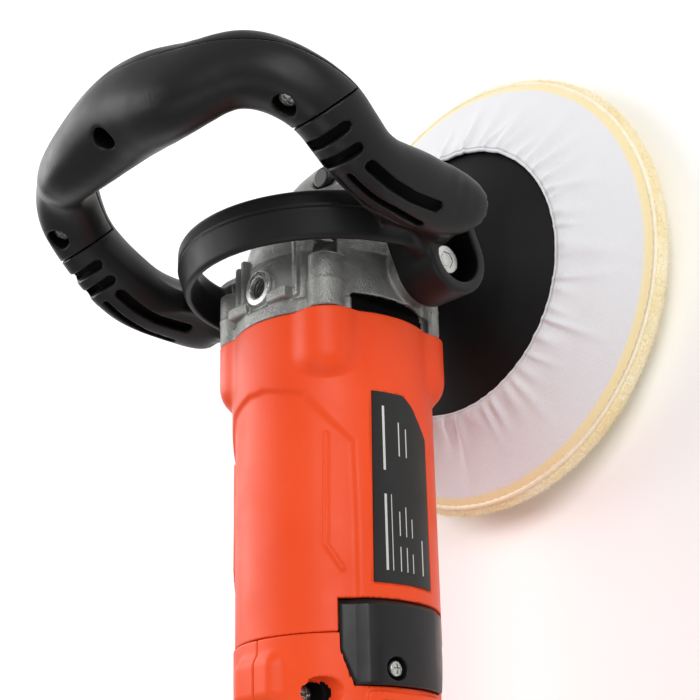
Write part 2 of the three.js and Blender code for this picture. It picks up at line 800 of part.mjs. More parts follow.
// --- rear handle ---
{
  const station = (x) => {
    let i = 0;
    while (i < REAR.length - 2 && x < REAR[i + 1][0]) i++;
    const a = REAR[i],
      b = REAR[i + 1],
      f = Math.min(1, Math.max(0, (x - a[0]) / (b[0] - a[0])));
    return a.map((p, k) => p + f * (b[k] - p));
  };
  const xs = REAR.map((r) => r[0]);
  const body = (shrink, list) =>
    loft(16, list.length - 1, (t, angle, r) => {
      const v = station(list[Math.round(t * (list.length - 1))]);
      const x = list[Math.round(t * (list.length - 1))];
      const e = 2 + Math.min(0.5, Math.max(0, (-190 - x) / 60));
      return new THREE.Vector3(
        x,
        r * (v[2] - shrink) * sq(Math.cos(angle), e),
        v[1] + r * (v[3] - shrink) * sq(Math.sin(angle), e),
      );
    });
  let outer = body(0, xs);
  let inner = body(2.8, [-168.3, -192, -202, -214, -228, -246, -270, -300, -325, -341, -345]);
  if (outer.volume() < 0 || inner.volume() < 0) throw new Error("rear handle inside out");
  inner = inner.add(rod("x", 35.4, -170, -166, 0, 0, 32));
  const bosses = HANDLE_SCREWS.map(([x, z]) => rod("y", 5.4, -40, 40, x, z, 16).intersect(outer));
  let shell = join(cut(outer, inner), ...bosses);
  for (const s of [1, -1])
    shell = join(
      shell,
      box(-192, -174.6, s > 0 ? 28 : -32.6, s > 0 ? 32.6 : -28, 2.5, 12.5),
      box(-192, -187.6, s > 0 ? 28 : -36.2, s > 0 ? 36.2 : -28, 2.5, 12.5),
    );
  shell = cut(
    shell,
    box(-187, -160, 22, 60, -24.8, 24.8).subtract(box(-187.1, -174.6, 28, 32.6, 2.5, 12.5)),
    box(-187, -160, -60, -22, -24.8, 24.8).subtract(box(-187.1, -174.6, -32.6, -28, 2.5, 12.5)),
    rod("y", 2.1, 20, 45, ...COVER_SCREW, 12),
    rod("y", 2.1, -45, -20, ...COVER_SCREW, 12),
    box(-287, -225.5, -8.2, 8.2, -45, -18), // trigger slot
    rod("y", 6.1, 10, 40, -256, -4, 20), // lock-on button hole
    box(DIAL[0] - 13, DIAL[0] + 13, -4.3, 4.3, 16, 45), // dial slot
    rod("x", 7.4, -360, -340, 0, -1, 20), // cord inlet hole
    ...HANDLE_SCREWS.map(([x, z]) => rod("y", 1.95, -30, 22, x, z, 12)),
    ...HANDLE_SCREWS.map(([x, z]) => rod("y", 4, -50, -12, x, z, 16)),
    ...[-200, -206].flatMap((x) => [box(x - 1.6, x + 1.6, -50, 50, -14, 14)]), // air inlets
  );
  part("rear_handle_left", shell.intersect(box(-400, -100, 0.15, 60, -80, 80)), ORANGE);
  part("rear_handle_right", shell.intersect(box(-400, -100, -60, -0.15, -80, 80)), ORANGE);
  HANDLE_SCREWS.forEach(([x, z], i) =>
    part(
      "rear_handle_screw_" + (i + 1),
      join(rod("y", 1.6, -13, 16, x, z, 10), rod("y", 3.5, -14.5, -12.3, x, z, 14)),
      ZINC,
    ),
  );
}
{
  const [px, pz] = TRIGGER_PIVOT;
  part(
    "trigger",
    slab(
      [
        [px + 2.5, pz + 1],
        [px - 1, pz + 3],
        [px - 50, pz - 4],
        [px - 53, pz - 7],
        [px - 52, pz - 16],
        [px - 48, pz - 18.5],
        [px - 30, pz - 17.5],
        [px - 12, pz - 17],
        [px - 3, pz - 11],
        [px + 2.5, pz - 4],
      ],
      -7,
      7,
      "xz",
    ),
    BLACK,
  );
}
part("lock_on_button", join(rod("y", 5.6, 12, 25, -256, -4, 20), rod("y", 5.6, 25, 26, -256, -4, 20, 4.8)), BLACK);
{
  const [dx, dz] = DIAL;
  const grooves = [];
  for (let i = 0; i < 16; i++) {
    const b = new THREE.BoxGeometry(1.6, 10, 1.6);
    b.translate(12.2, 0, 0);
    b.rotateY((i / 16) * 2 * Math.PI);
    b.translate(dx, 0, dz);
    grooves.push(solid(b));
  }
  part("speed_dial", wasm.Manifold.difference([rod("y", 12, -3.6, 3.6, dx, dz, 32), ...grooves]), BLACK);
}
part("power_switch", join(box(-282, -243, -8.5, 8.5, -11, 10), box(-252, -246, -3, 3, -15, -10)), BLACK);
part("speed_control_board", join(box(-338, -296, -17, 17, -9, -7.4), box(-334, -310, -9, 9, -7.5, 1)), BOARD);
part(
  "cord_inlet",
  turned(
    "x",
    [
      [0, -338],
      [6.9, -338],
      [6.9, -351],
      [9.5, -351.3],
      [9.5, -354],
      [8, -356],
      [4, -356],
      [4, -341],
      [0, -341],
    ],
    24,
  ).translate([0, 0, -1]),
  SOFT_BLACK,
);

export default group;
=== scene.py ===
import json
import math

import bpy
import numpy as np
from mathutils import Matrix, Vector


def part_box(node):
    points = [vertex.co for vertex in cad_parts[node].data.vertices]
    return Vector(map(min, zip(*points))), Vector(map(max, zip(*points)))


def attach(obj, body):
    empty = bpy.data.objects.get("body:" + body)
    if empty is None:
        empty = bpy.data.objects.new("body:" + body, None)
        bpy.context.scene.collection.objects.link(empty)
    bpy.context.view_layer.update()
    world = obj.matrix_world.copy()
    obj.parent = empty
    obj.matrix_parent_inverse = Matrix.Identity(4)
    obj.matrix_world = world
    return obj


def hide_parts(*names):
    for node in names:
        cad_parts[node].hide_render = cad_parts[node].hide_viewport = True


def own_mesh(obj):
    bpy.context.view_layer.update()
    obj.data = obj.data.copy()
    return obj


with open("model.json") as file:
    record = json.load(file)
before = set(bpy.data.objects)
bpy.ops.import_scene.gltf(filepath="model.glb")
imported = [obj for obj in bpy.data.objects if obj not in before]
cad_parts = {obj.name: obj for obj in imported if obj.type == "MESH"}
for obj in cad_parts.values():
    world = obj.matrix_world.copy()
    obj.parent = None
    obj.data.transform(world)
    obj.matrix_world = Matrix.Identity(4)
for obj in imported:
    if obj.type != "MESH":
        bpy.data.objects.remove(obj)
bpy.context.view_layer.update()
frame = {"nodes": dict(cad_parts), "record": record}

NODES = frame["nodes"]
AXIS = 0.106  # height of the motor axis; shapes below are in millimetres from it
rng = np.random.default_rng(7)
scene = bpy.context.scene
scene.view_settings.view_transform = "Standard"


# ---------------------------------------------------------------- distance functions (mm)
def smin(a, b, k):
    h = np.maximum(k - np.abs(a - b), 0) / k
    return np.minimum(a, b) - h * h * k * 0.25


def smax(a, b, k):
    return -smin(-a, -b, k)


def sub(a, b, k=0.8):
    return smax(a, -b, k)


def cyl(P, axis, r, a, b, u=0.0, v=0.0, r2=None, rnd=0.8):
    i = "xyz".index(axis)
    j, k = [n for n in (0, 1, 2) if n != i]
    t = P[:, i]
    rad = np.hypot(P[:, j] - u, P[:, k] - v)
    rr = r if r2 is None else r + (r2 - r) * np.clip((t - a) / (b - a), 0, 1)
    p = rad - rr
    if r2 is not None:
        p = p / math.hypot(1, (r2 - r) / (b - a))
    q = np.abs(t - (a + b) / 2) - (b - a) / 2
    p, q = p + rnd, q + rnd
    return np.minimum(np.maximum(p, q), 0) + np.hypot(np.maximum(p, 0), np.maximum(q, 0)) - rnd


def block(P, x0, x1, y0, y1, z0, z1, rnd=0.6):
    c = np.array([(x0 + x1) / 2, (y0 + y1) / 2, (z0 + z1) / 2])
    h = np.array([(x1 - x0) / 2, (y1 - y0) / 2, (z1 - z0) / 2])
    q = np.abs(P - c) - h + rnd
    return np.minimum(q.max(1), 0) + np.linalg.norm(np.maximum(q, 0), axis=1) - rnd


def poly(p, q, pts):
    """Signed distance to a closed outline."""
    pts = np.array(pts, float)
    d = np.full(len(p), 1e9)
    inside = np.zeros(len(p), bool)
    for (ax, ay), (bx, by) in zip(pts, np.roll(pts, -1, 0)):
        ex, ey = bx - ax, by - ay
        wx, wy = p - ax, q - ay
        t = np.clip((wx * ex + wy * ey) / (ex * ex + ey * ey), 0, 1)
        d = np.minimum(d, (wx - t * ex) ** 2 + (wy - t * ey) ** 2)
        if ey:
            c = (ay > q) != (by > q)
            inside ^= c & (p < ex * (q - ay) / ey + ax)
    d = np.sqrt(d)
    return np.where(inside, -d, d)


def turned(P, axis, profile):
    i = "xyz".index(axis)
    j, k = [n for n in (0, 1, 2) if n != i]
    full = list(profile) + [(-r, h) for r, h in reversed(profile) if r > 0]
    return poly(np.hypot(P[:, j], P[:, k]), P[:, i], full)


def segment(P, a, b):
    a, b = np.array(a, float), np.array(b, float)
    e = b - a
    w = P - a
    t = np.clip((w @ e) / (e @ e), 0, 1)
    return np.linalg.norm(w - t[:, None] * e, axis=1)


def channel(P, path, normal, width, depth, out=9.0):
    """A groove along path, cut depth deep against the surface's normal, with round ends."""
    n = np.array(normal, float)
    n /= np.linalg.norm(n)
    best = np.full(len(P), 1e9)
    path = [np.array(p, float) for p in path]
    for a, b in zip(path, path[1:]):
        e = b - a
        ef = e - (e @ n) * n
        w = P - a
        wf = w - (w @ n)[:, None] * n
        t = np.clip((wf @ ef) / (ef @ ef), 0, 1)
        lat = np.linalg.norm(wf - t[:, None] * ef, axis=1) - width / 2
        h = w @ n - t * (e @ n)
        best = np.minimum(best, smax(lat, np.maximum(-h - depth, h - out), 0.7))
    return best


def skin(name, f, lo, hi, h, eps=0.25, project=2):
    """The zero surface of f between lo and hi as a mesh: surface nets on an h grid, then moved onto f = 0."""
    lo, hi = np.array(lo, float) - 1.5 * h, np.array(hi, float) + 1.5 * h
    n = np.ceil((hi - lo) / h).astype(int) + 1
    B = 8
    nb = -(-n // B)
    axes = [lo[i] + h * np.arange(nb[i] * B) for i in range(3)]
    F = np.empty(nb * B, np.float32)
    cen = np.stack(
        np.meshgrid(*[lo[i] + h * (B * np.arange(nb[i]) + (B - 1) / 2) for i in range(3)], indexing="ij"), -1
    ).reshape(-1, 3)
    vb = f(cen)
    Fb = F.reshape(nb[0], B, nb[1], B, nb[2], B).transpose(0, 2, 4, 1, 3, 5)  # a view by block
    live = np.abs(vb) < h * B * 0.87 * 1.5 + 2.0
    idx = np.stack(np.unravel_index(np.arange(len(vb)), nb), 1)
    for (a, b, c), v in zip(idx[~live], vb[~live]):
        Fb[a, b, c] = v
    off = np.stack(np.meshgrid(*[h * np.arange(B)] * 3, indexing="ij"), -1).reshape(-1, 3)
    act = idx[live]
    for s in range(0, len(act), 400):
        part = act[s : s + 400]
        P = (lo + h * B * part)[:, None, :] + off[None]
        val = f(P.reshape(-1, 3)).reshape(len(part), B, B, B)
        for (a, b, c), v in zip(part, val):
            Fb[a, b, c] = v
    F = Fb.transpose(0, 3, 1, 4, 2, 5).reshape(nb * B)
    S = F < 0
    m = [d - 1 for d in F.shape]
    cnt = np.zeros(m, np.int8)
    for dx in (0, 1):
        for dy in (0, 1):
            for dz in (0, 1):
                cnt += S[dx : dx + m[0], dy : dy + m[1], dz : dz + m[2]]
    mixed = np.argwhere((cnt > 0) & (cnt < 8))
    vid = np.full(m, -1, np.int32)
    vid[tuple(mixed.T)] = np.arange(len(mixed))
    corner = np.array([(i, j, k) for i in (0, 1) for j in (0, 1) for k in (0, 1)])
    vals = np.stack([F[tuple((mixed + c).T)] for c in corner], 1)
    acc, num = np.zeros((len(mixed), 3)), np.zeros(len(mixed))
    for i in range(8):
        for j in range(i + 1, 8):
            if np.abs(corner[i] - corner[j]).sum() == 1:
                a, b = vals[:, i], vals[:, j]
                x = (a < 0) != (b < 0)
                t = np.where(x, a / np.where(x, a - b, 1), 0)
                acc += x[:, None] * (corner[i] + t[:, None] * (corner[j] - corner[i]))
                num += x
    V = lo + h * (mixed + acc / num[:, None])
    quads = []
    for ax in range(3):
        u, w = [(1, 2), (2, 0), (0, 1)][ax]
        sl0 = [slice(None)] * 3
        sl1 = [slice(None)] * 3
        sl0[ax], sl1[ax] = slice(0, -1), slice(1, None)
        A, Bv = S[tuple(sl0)], S[tuple(sl1)]
        e = np.argwhere(A != Bv)
        e = e[(e[:, u] > 0) & (e[:, w] > 0) & (e[:, u] < m[u]) & (e[:, w] < m[w])]
        du, dw = np.zeros(3, int), np.zeros(3, int)
        du[u], dw[w] = 1, 1
        q = np.stack([vid[tuple((e - d).T)] for d in (du + dw, dw, 0 * du, du)], 1)
        flip = ~A[tuple(e.T)]
        q[flip] = q[flip][:, ::-1]
        quads.append(q)
    Q = np.concatenate(quads)
    Q = Q[(Q >= 0).all(1)]
    E = np.eye(3)
    for _ in range(project):
        v0 = f(V)
        g = np.stack([(f(V + eps * 0.4 * E[i]) - f(V - eps * 0.4 * E[i])) / (0.8 * eps) for i in range(3)], 1)
        g2 = np.maximum((g * g).sum(1), 0.2)
        V = V - np.clip(v0 / g2, -0.5 * h, 0.5 * h)[:, None] * g
    g = np.stack([f(V + eps * E[i]) - f(V - eps * E[i]) for i in range(3)], 1)
    N = g / np.maximum(np.linalg.norm(g, axis=1), 1e-9)[:, None]
    return mesh(name, V, Q, N)


def mesh(name, V, faces, normals=None, smooth=True):
    """An object from points in mm about the motor axis."""
    me = bpy.data.meshes.new(name)
    V = np.asarray(V, float) / 1000 + np.array([0, 0, AXIS])
    faces = np.asarray(faces)
    me.vertices.add(len(V))
    me.vertices.foreach_set("co", V.astype(np.float32).ravel())
    k = faces.shape[1]
    me.loops.add(faces.size)
    me.loops.foreach_set("vertex_index", faces.astype(np.int32).ravel())
    me.polygons.add(len(faces))
    me.polygons.foreach_set("loop_start", np.arange(0, faces.size, k, dtype=np.int32))
    me.polygons.foreach_set("loop_total", np.full(len(faces), k, np.int32))
    me.update(calc_edges=True)
    me.validate()
    if smooth:
        me.polygons.foreach_set("use_smooth", np.ones(len(me.polygons), bool))
    if normals is not None:
        me.normals_split_custom_set_from_vertices(np.asarray(normals, np.float32).tolist())
    o = bpy.data.objects.new(name, me)
    scene.collection.objects.link(o)
    return o


def lathe(name, axis, profile, seg=128, rnd=0.6, u=0.0, v=0.0, steps=3, ripple=None):
    """A turned piece with rounded edges. The profile starts and ends on the axis."""
    P = [np.array(p, float) for p in profile]
    out = [P[0]]
    for i in range(1, len(P) - 1):
        a, b = P[i - 1] - P[i], P[i + 1] - P[i]
        la, lb = np.linalg.norm(a), np.linalg.norm(b)
        t = min(rnd, 0.45 * la, 0.45 * lb)
        p0, p1 = P[i] + a / la * t, P[i] + b / lb * t
        for s in range(steps + 1):
            w = s / steps
            out.append((1 - w) ** 2 * p0 + 2 * w * (1 - w) * P[i] + w * w * p1)
    out.append(P[-1])
    out = np.array(out)
    fine = [out[0]]
    for a, b in zip(out, out[1:]):  # long runs are split, so that shading stays even
        k = max(1, int(np.linalg.norm(b - a) // 2.5))
        fine += [a + (b - a) * (s + 1) / k for s in range(k)]
    fine = np.array(fine)
    ring = fine[1:-1]
    th = np.linspace(0, 2 * np.pi, seg, endpoint=False)
    R, H = ring[:, 0][:, None] + 0 * th, ring[:, 1][:, None] + 0 * th
    if ripple is not None:
        R, H = ripple(R, H, th[None, :] + 0 * R)
    c, s = R * np.cos(th), R * np.sin(th)
    G = {"x": (H, c + u, s + v), "y": (s + u, H, c + v), "z": (c + u, s + v, H)}[axis]
    V = np.stack(G, -1).reshape(-1, 3)
    n, m = len(ring), seg
    i, j = np.meshgrid(np.arange(n - 1), np.arange(m), indexing="ij")
    j2 = (j + 1) % m
    F = np.stack([i * m + j, i * m + j2, (i + 1) * m + j2, (i + 1) * m + j], -1).reshape(-1, 4)
    ends = [fine[0], fine[-1]]
    caps = []
    for e, rowi in ((0, 0), (1, n - 1)):
        h = ends[e][1]
        caps.append({"x": (h, u, v), "y": (u, h, v), "z": (u, v, h)}[axis])
    V = np.vstack([V, caps])
    a, b = len(V) - 2, len(V) - 1
    jj = np.arange(m)
    T0 = np.stack([np.full(m, a), (jj + 1) % m, jj], 1)
    T1 = np.stack([np.full(m, b), (n - 1) * m + jj, (n - 1) * m + (jj + 1) % m], 1)
    faces = [tuple(q) for q in F] + [tuple(t) for t in T0] + [tuple(t) for t in T1]
    me = bpy.data.meshes.new(name)
    me.from_pydata((V / 1000 + [0, 0, AXIS]).tolist(), [], [[int(x) for x in q] for q in faces])
    import bmesh

    bm = bmesh.new()
    bm.from_mesh(me)
    bmesh.ops.recalc_face_normals(bm, faces=bm.faces)
    bm.to_mesh(me)
    bm.free()
    me.polygons.foreach_set("use_smooth", np.ones(len(me.polygons), bool))
    o = bpy.data.objects.new(name, me)
    scene.collection.objects.link(o)
    return o


# ---------------------------------------------------------------- materials
def srgb(*c):
    return tuple((v / 255 / 12.92 if v / 255 <= 0.04045 else ((v / 255 + 0.055) / 1.055) ** 2.4) for v in c) + (1.0,)


def finish_of(
    name,
    dark,
    light,
    rough,
    metal=0.0,
    grain=900.0,
    bump=0.1,
    depth=0.00004,
    blotch=18.0,
    vary=0.06,
    edge=None,
    voronoi=0.0,
    coat=0.0,
    sheen=0.0,
    specular=0.5,
    scratch=0.0,
):
    """A procedural finish in object space: two tones mixed by soft blotches, a grain bump, uneven roughness, worn edges."""
    m = bpy.data.materials.new(name)
    m.use_nodes = True
    t = m.node_tree
    N, L = t.nodes, t.links
    b = N["Principled BSDF"]
    b.inputs["Metallic"].default_value = metal
    b.inputs["Specular IOR Level"].default_value = specular
    if coat:
        b.inputs["Coat Weight"].default_value = coat
        b.inputs["Coat Roughness"].default_value = 0.25
    if sheen:
        b.inputs["Sheen Weight"].default_value = sheen
        b.inputs["Sheen Roughness"].default_value = 0.5
    tc = N.new("ShaderNodeTexCoord")
    co = tc.outputs["Object"]

    def noise(scale, detail=3.0, rough_=0.55):
        n = N.new("ShaderNodeTexNoise")
        n.inputs["Scale"].default_value = scale
        n.inputs["Detail"].default_value = detail
        n.inputs["Roughness"].default_value = rough_
        L.new(co, n.inputs["Vector"])
        return n.outputs["Fac"]

    def ramp(src, a, c, p=0.35, q=0.65):
        r = N.new("ShaderNodeMapRange")
        r.inputs["From Min"].default_value = p
        r.inputs["From Max"].default_value = q
        r.inputs["To Min"].default_value = a
        r.inputs["To Max"].default_value = c
        L.new(src, r.inputs["Value"])
        return r.outputs["Result"]

    mix = N.new("ShaderNodeMix")
    mix.data_type = "RGBA"
    mix.inputs["A"].default_value = dark
    mix.inputs["B"].default_value = light
    L.new(ramp(noise(blotch, 4.0), 0.0, 1.0), mix.inputs["Factor"])
    colour = mix.outputs["Result"]
    if edge:
        geo = N.new("ShaderNodeNewGeometry")
        worn = N.new("ShaderNodeMix")
        worn.data_type = "RGBA"
        worn.inputs["B"].default_value = edge
        L.new(colour, worn.inputs["A"])
        mul = N.new("ShaderNodeMath")
        mul.operation = "MULTIPLY"
        L.new(ramp(geo.outputs["Pointiness"], 0.0, 0.55, 0.53, 0.62), mul.inputs[0])
        L.new(ramp(noise(140.0, 3.0), 0.2, 1.0), mul.inputs[1])
        L.new(mul.outputs[0], worn.inputs["Factor"])
        colour = worn.outputs["Result"]
    L.new(colour, b.inputs["Base Color"])
    L.new(ramp(noise(blotch * 3.1, 4.0), rough - vary, rough + vary), b.inputs["Roughness"])
    bp = N.new("ShaderNodeBump")
    bp.inputs["Strength"].default_value = bump
    bp.inputs["Distance"].default_value = depth * 10
    h = noise(grain, 2.0, 0.6)
    if voronoi:
        vo = N.new("ShaderNodeTexVoronoi")
        vo.inputs["Scale"].default_value = voronoi
        L.new(co, vo.inputs["Vector"])
        ad = N.new("ShaderNodeMath")
        ad.operation = "ADD"
        L.new(h, ad.inputs[0])
        L.new(vo.outputs["Distance"], ad.inputs[1])
        h = ad.outputs[0]
    L.new(h, bp.inputs["Height"])
    out = bp.outputs["Normal"]
    if scratch:
        b2 = N.new("ShaderNodeBump")
        b2.inputs["Strength"].default_value = scratch
        b2.inputs["Distance"].default_value = 0.0002
        L.new(noise(60.0, 6.0, 0.7), b2.inputs["Height"])
        L.new(out, b2.inputs["Normal"])
        out = b2.outputs["Normal"]
    L.new(out, b.inputs["Normal"])
    return m


M = {}
M["orange"] = finish_of("orange_moulding", srgb(222, 68, 26), srgb(229, 75, 31), 0.42, bump=0.05, grain=2400, depth=0.00002, edge=srgb(240, 106, 62), specular=0.2)
M["grip"] = finish_of("grip_moulding", srgb(15, 15, 16), srgb(20, 20, 21), 0.42, bump=0.10, grain=3200, depth=0.00003, edge=srgb(44, 44, 45), specular=0.25)
M["black"] = finish_of("black_moulding", srgb(15, 15, 16), srgb(21, 21, 22), 0.38, bump=0.06, grain=2800, depth=0.00003, edge=srgb(46, 46, 48), specular=0.3)
# painted shade: a near-black finish laid on faces deep in recesses and holes, where shade falls
M["dark"] = finish_of("painted_recess_shade", srgb(4, 4, 4), srgb(8, 8, 8), 0.75, bump=0.1, specular=0.1)
M["cast"] = finish_of("cast_aluminium", srgb(126, 126, 124), srgb(156, 156, 153), 0.46, metal=0.72, bump=0.5, grain=1300, depth=0.00008, vary=0.08, blotch=90, edge=srgb(214, 214, 211))
M["steel"] = finish_of("steel_ground", srgb(150, 152, 155), srgb(190, 192, 195), 0.3, metal=1.0, bump=0.08, grain=2500, blotch=80, scratch=0.04)
M["bearing"] = finish_of("bearing_steel", srgb(165, 167, 170), srgb(200, 202, 204), 0.22, metal=1.0, bump=0.05, grain=2500, blotch=80)
M["zinc"] = finish_of("zinc_plate", srgb(150, 150, 146), srgb(190, 190, 185), 0.36, metal=0.9, bump=0.15, grain=2200, blotch=160, edge=srgb(225, 225, 222))
M["brass"] = finish_of("brass", srgb(170, 132, 62), srgb(201, 163, 88), 0.33, metal=1.0, bump=0.06, grain=2000)
M["copper"] = finish_of("enamelled_copper", srgb(142, 70, 36), srgb(184, 98, 52), 0.36, metal=0.85, bump=0.6, grain=1100, depth=0.0002)
M["lamination"] = finish_of("laminated_steel", srgb(90, 92, 95), srgb(125, 127, 130), 0.45, metal=0.9, bump=0.4, grain=1400, depth=0.0001)
M["carbon"] = finish_of("carbon", srgb(34, 34, 36), srgb(48, 48, 50), 0.75, bump=0.3, grain=1500)
M["felt"] = finish_of("felt", srgb(70, 68, 64), srgb(98, 95, 90), 0.95, bump=0.8, grain=1800, depth=0.0002, sheen=0.3)
M["board"] = finish_of("circuit_board", srgb(30, 84, 52), srgb(42, 108, 66), 0.45, bump=0.1, grain=600, blotch=120)
M["rubber"] = finish_of("rubber", srgb(22, 22, 23), srgb(30, 30, 31), 0.68, bump=0.15, grain=1500)
M["machined"] = finish_of("machined_aluminium", srgb(185, 185, 183), srgb(210, 210, 208), 0.3, metal=0.85, bump=0.1, grain=3000, blotch=120)
M["plate"] = finish_of("pad_rubber", srgb(9, 9, 10), srgb(14, 14, 15), 0.5, bump=0.12, grain=2200, depth=0.00004, blotch=14, vary=0.05, edge=srgb(34, 34, 35), specular=0.22)
M["label"] = finish_of("label_film", srgb(20, 21, 20), srgb(27, 28, 27), 0.36, bump=0.03, grain=2400, blotch=30, specular=0.3)
M["print"] = finish_of("label_print", srgb(176, 177, 174), srgb(200, 201, 198), 0.5, bump=0.05, grain=1800)


def fabric():
    """White woven cotton: two sets of threads around and across the axis, with soft soiling."""
    m = bpy.data.materials.new("woven_cotton")
    m.use_nodes = True
    t = m.node_tree
    N, L = t.nodes, t.links
    b = N["Principled BSDF"]
    b.inputs["Specular IOR Level"].default_value = 0.2
    b.inputs["Sheen Weight"].default_value = 0.35
    b.inputs["Sheen Roughness"].default_value = 0.6
    tc = N.new("ShaderNodeTexCoord")
    co = tc.outputs["Object"]
    waves = []
    for ax in ("X", "Y"):
        w = N.new("ShaderNodeTexWave")
        w.wave_type = "BANDS"
        w.bands_direction = ax
        w.inputs["Scale"].default_value = 420.0
        w.inputs["Distortion"].default_value = 0.6
        w.inputs["Detail"].default_value = 1.0
        L.new(co, w.inputs["Vector"])
        waves.append(w.outputs["Fac"])
    mul = N.new("ShaderNodeMath")
    mul.operation = "MULTIPLY"
    L.new(waves[0], mul.inputs[0])
    L.new(waves[1], mul.inputs[1])
    n = N.new("ShaderNodeTexNoise")
    n.inputs["Scale"].default_value = 24.0
    n.inputs["Detail"].default_value = 4.0
    L.new(co, n.inputs["Vector"])
    mix = N.new("ShaderNodeMix")
    mix.data_type = "RGBA"
    mix.inputs["A"].default_value = srgb(228, 228, 231)
    mix.inputs["B"].default_value = srgb(218, 217, 220)
    L.new(n.outputs["Fac"], mix.inputs["Factor"])
    # towards the outer seam the wool shows through, creamier
    sep = N.new("ShaderNodeSeparateXYZ")
    L.new(co, sep.inputs[0])
    x2 = N.new("ShaderNodeMath")
    x2.operation = "MULTIPLY"
    L.new(sep.outputs["X"], x2.inputs[0])
    L.new(sep.outputs["X"], x2.inputs[1])
    y2 = N.new("ShaderNodeMath")
    y2.operation = "MULTIPLY_ADD"
    L.new(sep.outputs["Y"], y2.inputs[0])
    L.new(sep.outputs["Y"], y2.inputs[1])
    L.new(x2.outputs[0], y2.inputs[2])
    r = N.new("ShaderNodeMath")
    r.operation = "SQRT"
    L.new(y2.outputs[0], r.inputs[0])
    mr = N.new("ShaderNodeMapRange")
    mr.inputs["From Min"].default_value = 0.0922
    mr.inputs["From Max"].default_value = 0.0936
    L.new(r.outputs[0], mr.inputs["Value"])
    cream = N.new("ShaderNodeMix")
    cream.data_type = "RGBA"
    cream.inputs["B"].default_value = srgb(240, 222, 172)
    L.new(mr.outputs["Result"], cream.inputs["Factor"])
    L.new(mix.outputs["Result"], cream.inputs["A"])
    L.new(cream.outputs["Result"], b.inputs["Base Color"])
    rr = N.new("ShaderNodeMapRange")
    rr.inputs["To Min"].default_value = 0.82
    rr.inputs["To Max"].default_value = 0.95
    L.new(n.outputs["Fac"], rr.inputs["Value"])
    L.new(rr.outputs["Result"], b.inputs["Roughness"])
    bp = N.new("ShaderNodeBump")
    bp.inputs["Strength"].default_value = 0.35
    bp.inputs["Distance"].default_value = 0.0003
    L.new(mul.outputs[0], bp.inputs["Height"])
    L.new(bp.outputs["Normal"], b.inputs["Normal"])
    return m


M["fabric"] = fabric()
M["wool"] = finish_of("wool_pile", srgb(243, 223, 172), srgb(250, 240, 208), 0.9, bump=0.6, grain=700, depth=0.0002, blotch=45, sheen=0.5, specular=0.15)
M["fibre"] = finish_of("wool_fibre", srgb(244, 226, 178), srgb(252, 244, 218), 0.85, bump=0.2, grain=900, blotch=70, sheen=0.5, specular=0.15)
M["thread"] = finish_of("thread", srgb(240, 228, 198), srgb(248, 238, 214), 0.85, bump=0.5, grain=2500, blotch=200)

SLOT_OF = {m["slot"]: m for m in frame["record"].get("materials", []) if "slot" in m}
CAD_LOOK = {
    "wool": "wool",
    "pad_rubber": "plate",
    "steel": "steel",
    "bearing_steel": "bearing",
    "felt": "felt",
    "cast_aluminium": "cast",
    "black_plastic": "black",
    "grip_plastic": "grip",
    "orange_plastic": "orange",
    "zinc_steel": "zinc",
    "brass": "brass",
    "carbon": "carbon",
    "label_black": "label",
    "lamination": "lamination",
    "copper": "copper",
    "board": "board",
    "rubber": "rubber",
}
SLOTS = {}
for row in frame["record"].get("materials", []):
    for k in ("nodes", "node_names"):
        for nn in row.get(k, []) or []:
            SLOTS[nn] = row["slot"]
BY_NAME = [
    ("wool_bonnet", "wool"), ("backing_plate", "pad_rubber"), ("spindle_lower_bearing", "bearing_steel"),
    ("spindle_upper_bearing", "bearing_steel"), ("spindle_felt_seal", "felt"), ("spindle_bearing_cover", "cast_aluminium"),
    ("spindle_lock_button", "black_plastic"), ("cover_screw", "zinc_steel"), ("gear_case_screw", "zinc_steel"), ("gear_case", "cast_aluminium"),
    ("motor_housing", "orange_plastic"), ("brush_cover_screw", "zinc_steel"), ("brush_cover", "black_plastic"), ("brush_holder", "brass"),
    ("carbon_brush", "carbon"), ("rating_label", "label_black"), ("armature_front_bearing", "bearing_steel"), ("armature_rear_bearing", "bearing_steel"),
    ("armature_core", "lamination"), ("armature_winding", "copper"), ("commutator", "copper"), ("cooling_fan", "black_plastic"),
    ("stator_core", "lamination"), ("field_coil", "copper"), ("loop_handle_bolt", "zinc_steel"), ("loop_handle", "grip_plastic"), ("grip_screw", "zinc_steel"),
    ("rear_handle_screw", "zinc_steel"), ("rear_handle", "orange_plastic"), ("trigger", "black_plastic"), ("lock_on_button", "black_plastic"),
    ("speed_dial", "black_plastic"), ("power_switch", "black_plastic"), ("speed_control_board", "board"), ("cord_inlet", "rubber"),
]
for n, o in NODES.items():
    s = SLOTS.get(n) or next((v for k, v in BY_NAME if n.startswith(k)), "steel")
    SLOTS[n] = s
    o.data.materials.clear()
    o.data.materials.append(M[CAD_LOOK[s]])


def place(o, body, look, nodes=()):
    o.data.materials.clear()
    o.data.materials.append(M[look])
    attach(o, body)
    if nodes:
        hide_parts(*nodes)
    return o


def paint_shade(o, test, look="dark"):
    """Painted shade: gives the faces whose centres (mm about the motor axis) pass the test a second material, by
    default the near-black painted shade.
    """
    me_ = o.data
    me_.materials.append(M[look])
    c = np.empty(len(me_.polygons) * 3, np.float32)
    me_.polygons.foreach_get("center", c)
    P = (c.reshape(-1, 3).astype(float) - [0, 0, AXIS]) * 1000
    old = np.empty(len(me_.polygons), np.int32)
    me_.polygons.foreach_get("material_index", old)
    me_.polygons.foreach_set("material_index", np.where(test(P), len(me_.materials) - 1, old).astype(np.int32))
    return o


def stadium(p, q, a, b, r):
    ex, ey = b[0] - a[0], b[1] - a[1]
    t = np.clip(((p - a[0]) * ex + (q - a[1]) * ey) / (ex * ex + ey * ey), 0, 1)
    return np.hypot(p - a[0] - t * ex, q - a[1] - t * ey) - r


